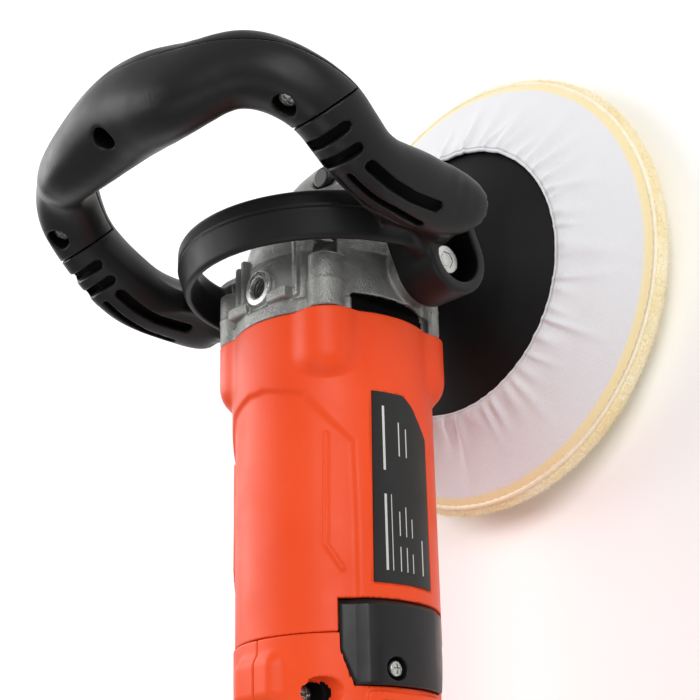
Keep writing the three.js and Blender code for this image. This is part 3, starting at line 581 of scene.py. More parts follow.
# ---------------------------------------------------------------- loop handle
LOOP = np.array(
    [
        [22.8, 0.0, 97.9, 20.5, 16.4, -2], [21.7, 11.5, 98.1, 20.4, 15.9, -1], [19.5, 22.4, 98.4, 20.0, 14.7, 0],
        [18.0, 32.1, 98.1, 19.2, 13.3, 1], [18.0, 40.3, 96.7, 17.9, 12.1, 3], [18.7, 47.4, 94.3, 16.4, 11.3, 4],
        [18.7, 53.7, 91.3, 14.9, 11.2, 6], [17.2, 59.6, 87.7, 13.6, 11.8, 9], [14.5, 64.8, 83.5, 12.7, 12.7, 12],
        [11.0, 69.2, 78.5, 12.5, 13.1, 16], [7.1, 72.4, 72.7, 12.7, 12.8, 20], [2.4, 74.2, 66.2, 12.9, 12.6, 25],
        [-3.3, 74.1, 59.2, 12.5, 13.0, 29], [-8.6, 73.5, 51.9, 12.1, 13.6, 31], [-12.0, 73.5, 44.4, 12.5, 13.4, 32],
        [-13.6, 73.9, 36.5, 13.2, 12.8, 32], [-14.3, 74.1, 28.0, 13.7, 12.3, 32], [-14.8, 73.9, 19.3, 13.6, 12.2, 32],
        [-15.2, 75.0, 11.8, 13.2, 11.4, 32], [-15.6, 77.2, 5.6, 11.6, 9.8, 32], [-16.0, 79.6, 0.2, 8.8, 7.2, 32], [-16.3, 81.6, -4.2, 4.6, 3.8, 32],
    ]
)


def catmull(rows, per):
    ext = np.vstack([2 * rows[0] - rows[1], rows, 2 * rows[-1] - rows[-2]])
    ext[0] = rows[1] * [1, -1, 1, 1, 1, 1]  # mirrored across the middle of the grip
    out = []
    for i in range(1, len(ext) - 2):
        p0, p1, p2, p3 = ext[i - 1 : i + 3]
        for k in range(per):
            t = k / per
            out.append(0.5 * (2 * p1 + (p2 - p0) * t + (2 * p0 - 5 * p1 + 4 * p2 - p3) * t * t + (3 * p1 - p0 - 3 * p2 + p3) * t**3))
    out.append(ext[-2])
    return np.array(out)


PER = 6
CUR = catmull(LOOP, PER)
_ext = np.vstack([CUR[1] * [1, -1, 1, 1, 1, 1], CUR, 2 * CUR[-1] - CUR[-2]])
TAN = _ext[2:, :3] - _ext[:-2, :3]
TAN /= np.linalg.norm(TAN, axis=1)[:, None]
_s = np.arange(len(CUR)) / PER / 20
_k = np.clip((_s - 0.35) / 0.3, 0, 1)
_k = (_k * _k * (3 - 2 * _k))[:, None]
NRM = np.array([-0.896, 0, 0.445]) * (1 - _k) + np.array([-1.0, 0, 0]) * _k
NRM -= (NRM * TAN).sum(1)[:, None] * TAN
NRM /= np.linalg.norm(NRM, axis=1)[:, None]
OUT = np.cross(TAN, NRM)
_p = np.radians(CUR[:, 5])[:, None]
VA = np.cos(_p) * NRM - np.sin(_p) * OUT
VB = np.sin(_p) * NRM + np.cos(_p) * OUT


def along_loop(P):
    """Distance to the loop's skin, and how far along the loop (0 middle of the grip, 20 end of the arm)."""
    Q = P * [1, 1, 1]
    Q[:, 1] = np.abs(Q[:, 1])
    d2 = np.empty(len(Q))
    near = np.empty(len(Q), int)
    for s in range(0, len(Q), 60000):
        q = Q[s : s + 60000]
        dd = (q * q).sum(1)[:, None] - 2 * q @ CUR[:, :3].T + (CUR[:, :3] ** 2).sum(1)[None]
        near[s : s + 60000] = dd.argmin(1)
    n = near
    w = Q - CUR[n, :3]
    tt = (w * TAN[n]).sum(1)
    seg = np.where(tt > 0, np.minimum(n + 1, len(CUR) - 1), np.maximum(n - 1, 0))
    gap = np.linalg.norm(CUR[seg, :3] - CUR[n, :3], axis=1)
    f = np.where(gap > 0, np.clip(np.abs(tt) / np.maximum(gap, 1e-6), 0, 1), 0)[:, None]
    lerp = lambda A: A[n] * (1 - f) + A[seg] * f
    C = lerp(CUR)
    w = Q - C[:, :3]
    u, v, t = (w * lerp(VA)).sum(1), (w * lerp(VB)).sum(1), (w * lerp(TAN)).sum(1)
    a, b = C[:, 3], C[:, 4]
    rad = np.hypot(u, v) + 1e-6
    e = 2.4
    g = ((np.abs(u) / a) ** e + (np.abs(v) / b) ** e + 1e-12) ** (1 / e)
    d = rad * (1 - 1 / np.maximum(g, 0.05))
    d = np.where(g < 0.35, -0.65 * np.minimum(a, b), d)
    end = np.where(n >= len(CUR) - 2, t, -50.0)
    d = smax(d, end - 0.4, 3.0)
    return d, (n + np.where(tt > 0, f[:, 0], -f[:, 0])) / PER


SEAM_N = np.array([-0.896, 0, 0.445])


def mirrored(fn, P):
    Q = P.copy()
    Q[:, 1] = np.abs(Q[:, 1])
    return fn(Q)


def loop_outer(P):
    d, s = along_loop(P)
    Q = P.copy()
    Q[:, 1] = np.abs(Q[:, 1])
    # the band that arches over the gear head, with its rear face dished
    r = np.hypot(P[:, 1], P[:, 2])
    x = P[:, 0]
    ri = 54 + 0.12 * np.maximum(-15 - x, 0)
    ro = 61.2 - 0.30 * np.maximum(-16 - x, 0)
    band = np.maximum(np.maximum(ri - r, r - ro), np.abs(x + 17.5) - 9.5)
    band = smax(smax(ri - r, r - ro, 2.0), np.abs(x + 17.5) - 9.5, 2.2)
    band = smax(band, -6 - P[:, 2], 2.0)
    step = np.where((x > -15.2) & (x < -14.4) & (r > 57), 0.35, 0)  # moulding line
    band = band + step
    # boss round the bolt, its link to the arm, and the web behind the band
    boss = smax(stadium(Q[:, 0], Q[:, 2], (-26, -10), (-13, -4), 15.3), np.abs(Q[:, 1] - 52) - 10, 2.2)
    link = block(Q, -26, -10, 50, 70, -4, 10, rnd=4)
    foot = cyl(Q, "y", 8, 50, 68, -13, 0, rnd=3)
    web = poly(Q[:, 1], Q[:, 2], [(52, -4), (70, -2), (70, 30), (66, 42), (58, 30), (54, 12)])
    web = smax(web, np.abs(Q[:, 0] + 17) - 4.5, 1.5)
    lug = smin(smin(boss, link, 5), foot, 5)
    lug = smin(lug, web, 4)
    body = smin(d, smin(band, lug, 4.0), 5.0)
    return body, s


def loop_cuts(P, body, side_detail=True):
    Q = P.copy()
    Q[:, 1] = np.abs(Q[:, 1])
    near = (np.abs(Q[:, 1] - 60) < 40) & (P[:, 2] < 90)
    res = body.copy()
    q = Q[near]
    b = body[near]
    # slots across and along the arms
    slots = [
        ([(-9.5, 66.5, 68.4), (-9.8, 75, 68.9), (-8.6, 82.6, 67.8)], (-0.75, 0.0, 0.6), 3.9, 3.6),
        ([(-14.2, 66.5, 61.6), (-15.6, 74, 63.2), (-13.6, 82.2, 60.9)], (-0.78, 0.0, 0.55), 3.9, 3.6),
        ([(-17.7, 81.8, 54.2), (-21.8, 82.0, 44), (-24.1, 82.2, 34), (-24.8, 82.8, 22.3)], (-0.83, 0.52, 0.2), 4.3, 3.6),
        ([(-17.8, 67.1, 55.0), (-21.7, 67.0, 46.5), (-24.2, 66.8, 36), (-24.7, 65.6, 22.4)], (-0.83, -0.52, 0.2), 4.3, 3.6),
        ([(-20.2, 74.6, 56.8), (-24.3, 74.8, 47.6), (-26.8, 75.2, 36), (-27.9, 74.4, 23.9)], (-0.96, 0.0, 0.25), 3.2, 3.4),
    ]
    for path, n, w, dep in slots:
        b = sub(b, channel(q, path, n, w, dep), 0.7)
    # pocket round the bolt head
    pocket = cyl(q, "y", 10.8, 50.5, 78, -26, -10, rnd=1.0)
    pocket = np.minimum(pocket, smax(stadium(q[:, 0], q[:, 2], (-26, -10), (-13, -4), 10.8), np.abs(q[:, 1] - 57) - 6.5, 0.8))
    b = sub(b, pocket, 1.0)
    b = sub(b, cyl(q, "y", 4.3, 30, 60, -26, -10, rnd=0.2), 0.4)
    # keeps clear of the flange of the gear case
    res[near] = b
    res = sub(res, block(P, -60, -42.2, -44.6, 44.6, -30, 30, rnd=0.5), 0.8)
    return res


SCREWS = [(10.4, 0, 108.4), (-1.5, 70.8, 84.4), (-1.5, -70.8, 84.4)]


def screw_pits(P, r=4.6):
    d = np.full(len(P), 1e9)
    for p in SCREWS:
        w = P - np.array(p)
        h = w @ SEAM_N
        lat = np.linalg.norm(w - h[:, None] * SEAM_N, axis=1) - r
        d = np.minimum(d, np.maximum(lat, -h - 7.2))
    return d


def cover_zone(P):
    """Negative in the rear half of the grip, which is the grip's cover."""
    c = np.array([18.8, 0, 95.9])
    back = -((P - c) @ SEAM_N) - 5.0
    q = np.array([3.5, 0, 67.5])
    across = -((P - q) @ np.array([math.sqrt(0.5), 0, math.sqrt(0.5)]))
    return np.maximum(back, across)


def f_cover(P):
    d, _ = loop_outer(P)
    z = cover_zone(P)
    d = smax(d, z + 0.22, 0.5)
    return sub(d, screw_pits(P), 0.6)


def f_frame(P):
    d, _ = loop_outer(P)
    z = cover_zone(P)
    # a rounded lip, so that the joint reads as a fine dark line
    d = smax(d, -z + 0.22, 0.5)
    return loop_cuts(P, d)


H1 = 0.75
o = skin("grip_cover_shell", f_cover, (-14, -92, 60), (44, 92, 117), H1, eps=0.9)
place(o, "tool_body", "grip", ["loop_handle_cover"])
# painted shade: near-black laid on the screw pit walls more than 1.2 mm under the skin
paint_shade(o, lambda P: loop_outer(P)[0] < -1.2)
o = skin("loop_frame_shell", f_frame, (-43, -93, -28), (44, 93, 117), H1, eps=0.5)
place(o, "tool_body", "grip", ["loop_handle_body"])
# painted shade: near-black laid on the slot, pocket and bolt hole walls more than 1.3 mm under the skin
paint_shade(o, lambda P: (loop_outer(P)[0] < -1.3) & (P[:, 0] > -42))


# ---------------------------------------------------------------- gear case
def f_case(P):
    x, y, z = P.T
    r = np.hypot(y, z)
    nose = turned(P, "z", [(0, -28), (34, -28), (34, -1), (31, 3.5), (26, 8.5), (19, 14.5), (13, 18.5), (0, 18.5)])
    barrel = cyl(P, "x", 36.9, -43, -21, r2=36.2, rnd=1.0)
    taper = cyl(P, "x", 36.2, -22, -3, r2=31, rnd=1.5)
    flange = cyl(P, "x", 38.4, -47.3, -41.6, rnd=0.9)
    d = smin(smin(barrel, taper, 1.2), nose, 2.0)
    d = smin(d, flange, 1.2)
    for a in (45, 135, 225, 315):
        c, s = 37.2 * math.cos(math.radians(a)), 37.2 * math.sin(math.radians(a))
        d = smin(d, cyl(P, "x", 7, -47.3, -35.5, c, s, rnd=1.2), 1.6)
        c, s = 37.6 * math.cos(math.radians(a)), 37.6 * math.sin(math.radians(a))
        d = smin(d, cyl(P, "x", 6.6, -37, -25.5, c, s, rnd=0.7), 1.0)
    d = smin(d, cyl(P, "y", 13, -41.7, 41.7, -26, -10, rnd=1.0), 1.5)
    d = smin(d, cyl(P, "z", 7.4, 18, 37.8, -32.5, 0, rnd=0.5), 1.0)
    d = smin(d, cyl(P, "z", 7, -4, 11.8, 18, -12, rnd=0.8), 1.5)
    # cooling fins beside the side handle boss
    for yy in (-24, -17, 11, 18, 25):
        top = math.sqrt(1450 - yy * yy)
        fin = block(P, -40, -17, yy - 1.3, yy + 1.3, 20, top, rnd=0.7)
        d = smin(d, fin, 0.8)
    # a stepped rib on each shoulder and a pad by the flange
    for sg in (1, -1):
        d = smin(d, block(P, -41, -16, sg * 30 - 2.2, sg * 30 + 2.2, 8, 25.5, rnd=1.0), 1.5)
        d = smin(d, block(P, -41.5, -36.5, min(sg * 6, sg * 17), max(sg * 6, sg * 17), 30, 39.2, rnd=1.2), 1.2)
    d = smax(d, -28 - z, 0.8)
    # chamber
    ch = turned(P, "z", [(0, -29), (30.5, -29), (30.5, -2.5), (22.5, 5.5), (17, 9.2), (0, 9.2)])
    tube = np.maximum(cyl(P, "x", 30.5, -36, -8, r2=26, rnd=0.3), -27.9 - z)
    ch = sub(np.minimum(ch, tube), cyl(P, "z", 6.9, -4.1, 30, 18, -12, rnd=0.1), 0.3)
    d = sub(d, ch, 0.3)
    d = sub(d, cyl(P, "z", 9.8, 9, 15.9, rnd=0.1), 0.3)
    d = sub(d, cyl(P, "x", 16.4, -44.5, -37, rnd=0.1), 0.3)
    d = sub(d, cyl(P, "x", 9, -38, -35, rnd=0.1), 0.3)
    d = sub(d, cyl(P, "x", 34, -48.5, -44.2, rnd=0.1), 0.3)
    # air outlets with round ends
    for sg in (1, -1):
        lo_, hi_ = sorted((sg * 29, sg * 52))
        d = sub(d, block(P, -50.5, -39.4, lo_, hi_, -22.5, 19.0, rnd=2.0), 0.5)
        lo_, hi_ = sorted((sg * 31.8, sg * 50))
        d = sub(d, cyl(P, "y", 4.4, lo_, hi_, -26, -10, rnd=0.1), 0.4)
    thread = 3.75 + 0.42 * np.abs(np.mod((z + np.arctan2(y, x + 32.5) / (2 * np.pi) * 1.5) / 1.5, 1) * 2 - 1)
    bore = np.maximum(np.hypot(x + 32.5, y) - thread, np.maximum(31.6 - z, z - 45))
    d = sub(d, bore, 0.3)
    d = sub(d, cyl(P, "z", 5.2, 1.5, 30, 18, -12, rnd=0.1), 0.4)
    d = sub(d, cyl(P, "z", 2.5, -6, 2, 18, -12, rnd=0.1), 0.2)
    for a in (45, 135, 225, 315):
        c, s = 38 * math.cos(math.radians(a)), 38 * math.sin(math.radians(a))
        d = sub(d, cyl(P, "x", 2.8, -60, -30, c, s, rnd=0.1), 0.2)
        d = sub(d, cyl(P, "x", 5.1, -34.8, -18, c, s, rnd=0.1), 0.5)
        c, s = 28.6 * math.cos(math.radians(a)), 28.6 * math.sin(math.radians(a))
        d = sub(d, cyl(P, "z", 2.3, -30, -18.5, c, s, rnd=0.1), 0.2)
    return d


o = skin("gear_case_casting", f_case, (-48, -46, -29), (36, 46, 40), 0.7)
place(o, "tool_body", "cast", ["gear_case"])
# painted shade: near-black laid on the walls inside the air outlets
paint_shade(o, lambda P: (np.minimum(block(P, -50.5, -39.4, 29, 52, -22.5, 19.0), block(P, -50.5, -39.4, -52, -29, -22.5, 19.0)) < 0.35) & (np.hypot(P[:, 1], P[:, 2]) < 35.9))
# the machined face round the side handle bore
o = skin("side_bore_face", lambda P: smax(np.maximum(np.hypot(P[:, 0] + 32.5, P[:, 1]) - 6.9, 4.5 - np.hypot(P[:, 0] + 32.5, P[:, 1])), np.abs(P[:, 2] - 37.65) - 0.3, 0.15), (-39.6, -7.1, 37.2), (-25.4, 7.1, 38.1), 0.3)
place(o, "tool_body", "machined", ())


# the baffle in front of the fan, seen black through the air outlets
o = skin("fan_baffle", lambda P: smax(np.abs(P[:, 0] + 45.5) - 0.95, np.maximum(np.hypot(P[:, 1], P[:, 2]) - 33.3, 20 - np.hypot(P[:, 1], P[:, 2])), 0.4), (-46.6, -34, -34), (-44.4, 34, 34), 0.9)
place(o, "tool_body", "black", ())


# ---------------------------------------------------------------- motor housing
def theta_of(P, sg=-1):
    """Angle up from the horizontal on one flank of the tool."""
    return np.degrees(np.arctan2(P[:, 2], sg * P[:, 1]))


def flat_line(p, q, pts):
    d = np.full(len(p), 1e9)
    for (ax, ay), (bx, by) in zip(pts, pts[1:]):
        ex, ey = bx - ax, by - ay
        t = np.clip(((p - ax) * ex + (q - ay) * ey) / (ex * ex + ey * ey), 0, 1)
        d = np.minimum(d, np.hypot(p - ax - t * ex, q - ay - t * ey))
    return d


RAISED = [(-40, 112), (-76.8, 104), (-75.8, 84), (-79.7, 59.0), (-90.9, 43.6), (-98.9, 31.2), (-128.4, 30.4), (-175, 30.4), (-175, -112), (-40, -112)]
COVER = [(-156.3, 24.4), (-156.3, -24.4), (-173, -24.4), (-186.6, -19), (-186.6, 20.6), (-174.4, 24.4)]


def f_housing(P):
    x, y, z = P.T
    r = np.hypot(y, z)
    d = r - 38.4
    near = 38.4 * np.pi / 180
    k = 2.2
    for sg in (-1, 1):
        th = theta_of(P, sg)
        a = th * near
        ok = np.abs(th) < 110
        # the panel that carries the label stands a little proud, with a folded upper corner
        panel = poly(x, a, [(u, v * near) for u, v in RAISED])
        lift = -0.75 + 1.35 / (1 + np.exp(np.clip(panel / 0.5, -30, 30)))
        side = 1 / (1 + np.exp(np.clip(-sg * y * 1.2, -30, 30)))  # each flank has its own panel
        d = d - lift * side
        line = flat_line(x, a, [(-95.8, 45.6 * near), (-137.0, 46.8 * near), (-145.9, 38.4 * near)])
        d = np.where(ok, d - 0.85 * np.exp(-((line / 0.85) ** 2)), d)
    for ang in (45, 135, 225, 315):
        c, s = math.cos(math.radians(ang)), math.sin(math.radians(ang))
        tail = np.clip((-63 - x) / 13, 0, 1)
        rr = 13 * np.sqrt(np.maximum(1 - tail**2.4, 0))
        lobe = np.hypot(y - 31.2 * c, z - 31.2 * s) - rr
        lobe = np.where(x < -76, 5 + (-76 - x), lobe)
        d = smin(d, lobe, k)
    d = smax(d, x + 47.6, 0.7)
    d = smax(d, -168 - x, 0.5)
    # label recess
    th = theta_of(P, -1)
    lab = poly(x, z, [(-78.4, 14.1), (-78.4, -0.4), (-82.1, -5.3), (-93.0, -13.6), (-151.1, -13.6), (-151.1, 15.1)])
    d = np.where(y < 0, smax(d, -np.maximum(lab, 38.75 - r), 0.3), d)
    # inside
    d = sub(d, cyl(P, "x", 35.2, -172, -40, rnd=0.1), 0.3)
    for sg in (1, -1):
        d = sub(d, np.maximum(poly(x, z, COVER) - 0.15, 22 - sg * y), 0.4)
    for ang in (45, 135, 225, 315):
        c, s = 38 * math.cos(math.radians(ang)), 38 * math.sin(math.radians(ang))
        d = sub(d, cyl(P, "x", 2.7, -66.5, -40, c, s, rnd=0.1), 0.2)
    return d


o = skin("motor_housing_shell", f_housing, (-169, -46, -46), (-47, 46, 46), 0.85)
place(o, "tool_body", "orange", ["motor_housing"])


# ---------------------------------------------------------------- brush covers
def f_brush(sg):
    def f(P):
        x, y, z = P.T
        r = np.hypot(y, z)
        out = poly(x, z, COVER)
        top = 40.4 - 0.06 * np.maximum(np.abs(z) - 13, 0) ** 1.3 - 1.3 * np.clip((z - 17.5) / 3.0, 0, 1) - 1.0 * np.clip((-158.5 - x) * -1, 0, 2)
        d = smax(smax(out, r - top, 1.0), 35.7 - r, 0.4)
        d = np.maximum(d, -sg * y)
        # screw pit and the screw hole through it
        d = sub(d, np.maximum(np.hypot(x + 180.8, z - 7.5) - 4.1, 37.4 - r), 0.5)
        d = sub(d, np.hypot(x + 180.8, z - 7.5) - 2.1, 0.3)
        return d

    return f


for sg, side in ((1, "left"), (-1, "right")):
    lo_, hi_ = sorted((sg * 25, sg * 42))
    o = skin("brush_cover_cap_" + side, f_brush(sg), (-187.5, lo_, -25.5), (-155.5, hi_, 25.5), 0.55)
    place(o, "tool_body", "black", ["brush_cover_" + side])
    # painted shade: near-black laid inside the screw pit
    paint_shade(o, lambda P: (np.hypot(P[:, 0] + 180.8, P[:, 2] - 7.5) < 4.0) & (np.hypot(P[:, 1], P[:, 2]) < 39.2))


# ---------------------------------------------------------------- rear handle
REAR = np.array(
    [
        [-168.3, 0, 38.2, 38.2], [-180, 0, 38.2, 38.2], [-192, 0, 38.0, 38.0], [-202, -0.5, 35.5, 36.5], [-214, -1.5, 29.5, 33.5],
        [-228, -2.5, 24.5, 30.0], [-246, -2, 22.3, 27.5], [-270, -0.5, 21.8, 26.2], [-300, 0.5, 22.3, 26.3], [-325, 0, 24.5, 28.5],
        [-341, -1, 25.5, 30.0], [-347, -1, 23.5, 28.0], [-350, -1, 19.0, 23.0],
    ]
)[::-1]
_xs = np.linspace(-350, -168.3, 240)
_st = np.stack([np.interp(_xs, REAR[:, 0], REAR[:, i]) for i in range(4)], 1)
_ker = np.hanning(17)
_ker /= _ker.sum()
for i in (1, 2, 3):
    _pad = np.r_[np.full(8, _st[0, i]), _st[:, i], np.full(8, _st[-1, i])]
    _sm = np.convolve(_pad, _ker, "valid")
    _st[:, i] = np.where((_xs > -338) & (_xs < -174), _sm, _st[:, i])
HSCREW = [(-188.5, 29), (-188.5, -29), (-222, 18), (-336, -19)]


def rear_section(P, shrink=0.0):
    x, y, z = P.T
    c = np.interp(x, _xs, _st[:, 1])
    a = np.interp(x, _xs, _st[:, 2]) - shrink
    b = np.interp(x, _xs, _st[:, 3]) - shrink
    e = 2 + np.clip((-190 - x) / 60, 0, 0.5)
    u, w = np.abs(y) + 1e-9, np.abs(z - c) + 1e-9
    g = ((u / a) ** e + (w / b) ** e) ** (1 / e)
    rad = np.hypot(u, w)
    d = rad * (1 - 1 / np.maximum(g, 0.05))
    return np.where(g < 0.3, -0.7 * np.minimum(a, b), d)


def f_rear(sg):
    def f(P):
        x, y, z = P.T
        r = np.hypot(y, z)
        d = rear_section(P)
        # a raised pad on top behind the seam
        pad = block(P, -192, -173.5, -11, 13, 20, 40.2, rnd=5.0)
        d = smin(d, pad, 2.0)
        d = smax(d, x + 168.3, 0.6)
        d = smax(d, -350 - x, 3.0)
        # frame round the air inlets
        for s2 in (1, -1):
            lo_, hi_ = sorted((s2 * 20, s2 * 39.0))
            fr = block(P, -212, -188.5, lo_, hi_, -17, 17, rnd=2.0)
            d = smin(d, smax(fr, rear_section(P) - 0.9, 0.5), 0.8)
        inner = rear_section(P, 2.8)
        inner = np.maximum(inner, -346 - x)
        inner = np.minimum(inner, cyl(P, "x", 35.4, -170, -160, rnd=0.1))
        boss = np.full(len(P), 1e9)
        for hx, hz in HSCREW:
            boss = np.minimum(boss, np.hypot(x - hx, z - hz) - 7.4)
        inner = np.maximum(inner, -boss)
        d = sub(d, inner, 0.4)
        d = sub(d, block(P, -287, -225.5, -8.2, 8.2, -46, -18, rnd=1.0), 0.8)
        for s2 in (1, -1):
            d = sub(d, np.maximum(poly(x, z, COVER) - 0.15, 22 - s2 * y), 0.4)
        for k in range(5):
            xx = -192.5 - 3.7 * k
            for s2 in (1, -1):
                lo_, hi_ = sorted((s2 * 24, s2 * 60))
                d = sub(d, block(P, xx - 0.9, xx + 0.9, lo_, hi_, -13, 13, rnd=0.85), 0.4)
        d = sub(d, cyl(P, "y", 6.1, 10, 40, -256, -4, rnd=0.1), 0.7)
        d = sub(d, block(P, -331, -305, -4.3, 4.3, 16, 45, rnd=0.8), 0.8)
        d = sub(d, cyl(P, "x", 7.4, -360, -340, 0, -1, rnd=0.1), 0.6)
        for hx, hz in HSCREW:
            d = sub(d, cyl(P, "y", 1.95, -30, 13, hx, hz, rnd=0.1), 0.2)
            d = sub(d, cyl(P, "y", 4.2, -50, -12, hx, hz, rnd=0.1), 0.8)
            d = sub(d, cyl(P, "y", 5.1, -50, -20, hx, hz, rnd=0.6), 0.5)
        d = smax(d, -sg * y + 0.16, 0.5)
        return d

    return f


H2 = 0.85
for sg, side in ((1, "left"), (-1, "right")):
    lo_, hi_ = sorted((0, sg * 40))
    o = skin("rear_handle_half_" + side, f_rear(sg), (-351, lo_, -40), (-167.5, hi_, 41), H2)
    place(o, "tool_body", "orange", ["rear_handle_" + side])
    # painted shade: near-black laid on the inner walls more than 5 mm inside the handle, seen through the inlets and
    # holes
    paint_shade(o, lambda P: (rear_section(P) < -5.0) & (P[:, 0] < -170) & (P[:, 0] > -346))


# ---------------------------------------------------------------- rating label, with plain rules in place of print
def patch(name, outline, r0, r1, step=1.0):
    """A curved plate on the right flank, between two radii, from an outline in x and height."""
    import bmesh

    pts = np.array(outline, float)
    bm = bmesh.new()
    vs = []
    for (ax, az), (bx, bz) in zip(pts, np.roll(pts, -1, 0)):
        n = max(1, int(math.hypot(bx - ax, bz - az) / step))
        for k in range(n):
            vs.append(bm.verts.new((ax + (bx - ax) * k / n, 0, az + (bz - az) * k / n)))
    bm.faces.new(vs)
    lo_, hi_ = pts.min(0), pts.max(0)
    zz = np.arange(math.ceil(lo_[1]), hi_[1], 1.5)
    for z in zz:
        bmesh.ops.bisect_plane(bm, geom=bm.verts[:] + bm.edges[:] + bm.faces[:], plane_co=(0, 0, z + 0.013), plane_no=(0, 0, 1))
    geo = bmesh.ops.extrude_face_region(bm, geom=bm.faces[:])
    up = [v for v in geo["geom"] if isinstance(v, bmesh.types.BMVert)]
    ups = set(up)
    for v in bm.verts:
        r = r1 if v in ups else r0
        x, _, z = v.co
        v.co = (x / 1000, -math.sqrt(r * r - z * z) / 1000, z / 1000 + AXIS)
    bmesh.ops.recalc_face_normals(bm, faces=bm.faces)
    me = bpy.data.meshes.new(name)
    bm.to_mesh(me)
    bm.free()
    o = bpy.data.objects.new(name, me)
    scene.collection.objects.link(o)
    return o


o = patch("rating_plate", [(-79, 13.5), (-79, 0), (-82.5, -4.8), (-93.2, -13), (-150.5, -13), (-150.5, 14.5)], 38.8, 39.25)
place(o, "tool_body", "label", ["rating_label"])
RULES = [
    (-84.5, -109, 9.0, 9.9), (-118, -146, 9.0, 9.9), (-118, -146, 6.9, 7.2),
    (-90, -103, 2.6, 3.1), (-124, -133, 3.4, 3.8), (-137, -146, 3.4, 3.8), (-92, -103, -0.9, -0.4), (-122, -133, 0.4, 0.8), (-137, -146, 0.4, 0.8),
    (-126, -133, -2.6, -2.2), (-139, -146, -2.6, -2.2), (-133, -146, -8.2, -7.6),
]
for i, (a, b, c, d) in enumerate(RULES):
    o = patch("rating_rule_%02d" % (i + 1), [(a, d), (a, c), (b, c), (b, d)], 39.15, 39.33)
    place(o, "tool_body", "print", ())


# ---------------------------------------------------------------- backing plate
def plate_ripple(R, H, th):
    return R, H


o = lathe(
    "backing_cone",
    "z",
    [(7.7, -51.9), (17, -52.0), (19.2, -55.4), (24, -57.6), (40, -64.0), (60, -73.3), (77, -81.9), (87.2, -87.6), (88, -88.6), (88, -91.6), (86.5, -93), (7.7, -93), (7.7, -90)],
    seg=160,
    rnd=1.6,
)
place(o, "spindle_assembly", "plate", ["backing_plate"])


# ---------------------------------------------------------------- bonnet: gathered fabric back, wool edge and pile
BACK = np.array([(61.0, -70.6), (64.5, -72.0), (70, -75.1), (78, -79.0), (86, -83.1), (92.5, -86.4), (96.4, -89.0)])


def back_at(s):
    d = np.r_[0, np.cumsum(np.hypot(*np.diff(BACK, axis=0).T))]
    return np.interp(s * d[-1], d, BACK[:, 0]), np.interp(s * d[-1], d, BACK[:, 1])


def gathers(r, th):
    """Folds drawn up by the elastic: strong at the mouth, dying out towards the seam."""
    g = np.random.default_rng(23)
    out = np.zeros_like(r)
    n = 58
    a0 = (np.arange(n) + g.uniform(-0.36, 0.36, n)) / n * 2 * np.pi
    for i in range(n):
        w = g.uniform(0.016, 0.034)
        length = g.choice([12, 18, 25, 31], p=[0.25, 0.3, 0.25, 0.2]) * g.uniform(0.85, 1.15)
        amp = g.uniform(1.2, 2.9)
        lean = g.uniform(-0.004, 0.004)
        da = np.angle(np.exp(1j * (th - a0[i] - lean * (r - 61))))
        ww = w * (1 + (r - 61) / 26)
        out += amp * np.exp(-((da / ww) ** 2)) * np.clip(1 - (r - 61) / length, 0, 1) ** 1.2
    return out * (0.3 + 0.7 * np.clip((r - 61) / 3.0, 0, 1))


def fabric_back():
    nr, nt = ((34, 720))
    s = np.linspace(0, 1, nr)
    th = np.linspace(0, 2 * np.pi, nt, endpoint=False)
    R0, Z0 = back_at(s)
    R, T = np.meshgrid(R0, th, indexing="ij")
    Z = np.repeat(Z0[:, None], nt, 1)
    dz = gathers(R, T)
    nz = 0.86
    nrm = 0.5
    Z = Z + dz * nz
    Rr = R + dz * nrm * 0.6
    V = np.stack([Rr * np.cos(T), Rr * np.sin(T), Z], -1)
    V = draw_up(V, R0, Z0, nr, nt)
    return V, nr, nt


